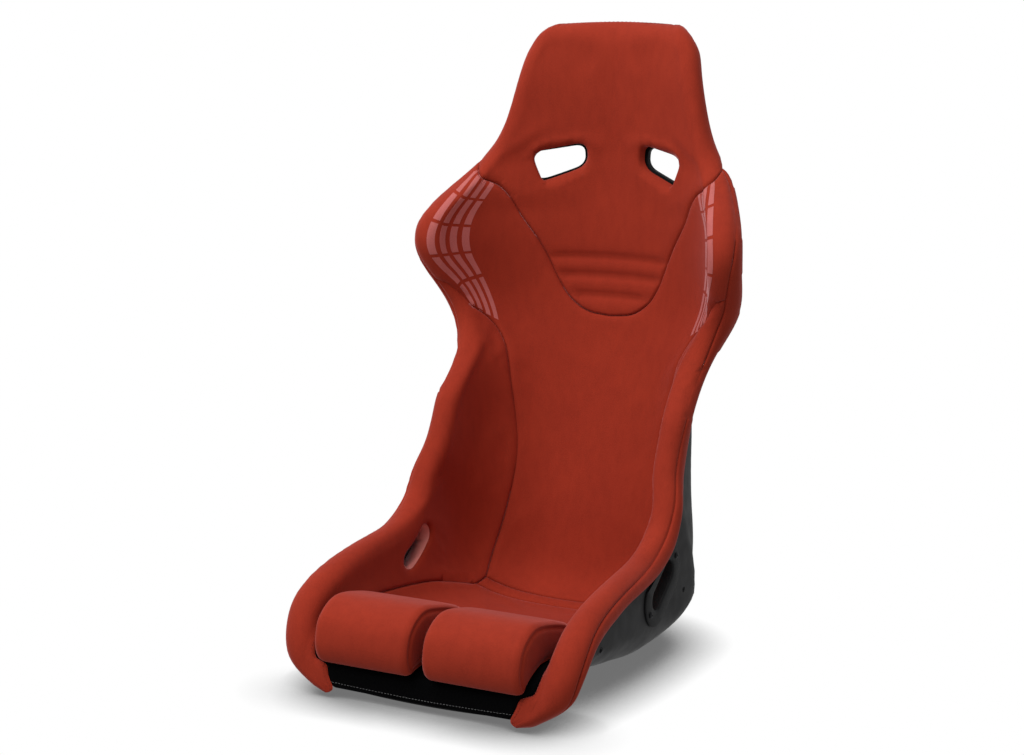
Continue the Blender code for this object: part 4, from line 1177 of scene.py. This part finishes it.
def stitches(name, covers, lines, finish):
    """Rows of single stitches along lines in (s, t), each a short thread that dips in at its ends."""
    tree = skin_tree(covers)
    points, faces = [], []
    for line in lines:
        place, out = on_skin(tree, np.array(line))
        along = lengths(place)
        for begin in np.arange(0.002, along[-1] - STITCH, STITCH + STITCH_GAP):
            start = len(points)
            for share in np.linspace(0, 1, 5):
                here = begin + share * STITCH
                ahead = read_off(here + 0.001, along, place) - read_off(here - 0.001, along, place)
                ahead /= max(np.linalg.norm(ahead), 1e-9)
                up = read_off(here, along, out)
                up /= np.linalg.norm(up)
                wide = np.cross(ahead, up)
                height = STITCH_R * (1.3 * sin(pi * share) - 0.55)
                thick_here = STITCH_R * (0.55 + 0.45 * sin(pi * share))
                for turn in np.arange(6) * pi / 3:
                    points.append(read_off(here, along, place) + up * (height + thick_here * sin(turn))
                                  + wide * thick_here * cos(turn))
            faces += woven(5, 6, start=start)
            faces += [tuple(start + j for j in range(6)), tuple(start + 24 + j for j in reversed(range(6)))]
    settle(add_mesh(name, points, faces, finish), "seat")


# ---- The studio

FLOOR_SIZE = 12.0
LAMPS = (("key", (-0.9, -1.9, 2.8), 2.3, 76), ("top", (0.2, -0.4, 3.2), 3.0, 34),
         ("rim", (-2.6, 0.9, 1.4), 1.2, 14))        # name, place, size in metres, watts
CAMERA_PLACE, CAMERA_LENS = (1.269, -2.5412, 0.9675), 70.3
CAMERA_AZIMUTH, CAMERA_ELEVATION = 27.0, 11.2      # degrees


def by_camera(tree, low, high):
    """A strength that is low for most rays and high for what the camera sees itself."""
    mix = add_node(tree, "Mix", A=low)
    tree.links.new(add_node(tree, "LightPath").outputs["Is Camera Ray"], mix.inputs["Factor"])
    if isinstance(high, float):
        set_inputs(mix, B=high)
    else:
        tree.links.new(high, mix.inputs["B"])
    return mix.outputs["Result"]


def floor_and_world():
    """A pale floor that glows: evenly for the light it sends onto the seat, and where the camera sees it
    darkened by ambient occlusion wherever something is close above it, a painted contact shadow; and an even
    white world.
    """
    size = FLOOR_SIZE
    corners = [(-size, -size, 0), (size, -size, 0), (size, size, 0), (-size, size, 0)]
    floor = placed("floor", plain_mesh("floor", corners, [(0, 1, 2, 3)]))
    made, tree, _ = node_tree("floor_glow_painted_shadow")
    # Painted contact shadow: the glow the camera sees falls with ambient occlusion under the seat. Other rays
    # get an even glow of 0.40, which lights the seat from below.
    ao_painted_shadow = add_node(tree, "AmbientOcclusion", Distance=0.09).outputs["AO"]
    floor_glow = add_node(tree, "Emission")
    painted_shadow_strength = ranged(tree, ao_painted_shadow, 0.16, 1.0, 0.36, 0.98)
    tree.links.new(by_camera(tree, 0.40, painted_shadow_strength), floor_glow.inputs["Strength"])
    tree.links.new(floor_glow.outputs[0], tree.nodes["Material Output"].inputs["Surface"])
    floor.data.materials.append(made)
    world = bpy.data.worlds.new("studio")
    world.use_nodes = True
    tree = world.node_tree
    sky = set_inputs(tree.nodes["Background"], Color=(1, 1, 1, 1))
    tree.links.new(by_camera(tree, 0.34, 1.0), sky.inputs["Strength"])
    bpy.context.scene.world = world


def lamps():
    middle = (Vector(CAD_BOX[0]) + Vector(CAD_BOX[1])) / 2
    for name, place, size, power in LAMPS:
        light = bpy.data.lights.new(name, "AREA")
        light.energy, light.size = power, size
        lamp = placed(name, light)
        lamp.location = place
        lamp.rotation_euler = (middle - Vector(place)).to_track_quat("-Z", "Y").to_euler()
    bpy.context.scene.view_settings.view_transform = "Standard"


def camera():
    azimuth, elevation = radians(CAMERA_AZIMUTH), radians(CAMERA_ELEVATION)
    data = bpy.data.cameras.new("camera")
    data.sensor_width = 36.0
    data.lens = CAMERA_LENS
    made = placed("camera", data)
    right = Vector((cos(azimuth), sin(azimuth), 0))
    up = Vector((-sin(azimuth) * sin(elevation), cos(azimuth) * sin(elevation), cos(elevation)))
    turn = Matrix((right, up, right.cross(up))).transposed().to_4x4()
    made.matrix_world = Matrix.Translation(CAMERA_PLACE) @ turn
    bpy.context.scene.camera = made


covers = pads()
shell()
bezels()
fasteners()
floor = floor_tree()
for side, word in SIDES:
    cushion(side, word, floor)
hook_strips()
prints([covers[name] for name in ("head", "back", "bolster_left", "bolster_right")])
hem = [(1.35, t) for t in np.linspace(-0.8, 0.8, 90)]
stitches("lip_hem_stitches", [covers["lip"]], [hem], GREY_THREAD)
lobe = [(s, t + 0.045) for s, t in BASE if s < 11]
stitches("bolster_top_stitches", [covers["bolster_left"], covers["bolster_right"]],
         [mirrored(lobe, side) for side, _ in SIDES], THREAD)
floor_and_world()
lamps()
camera()
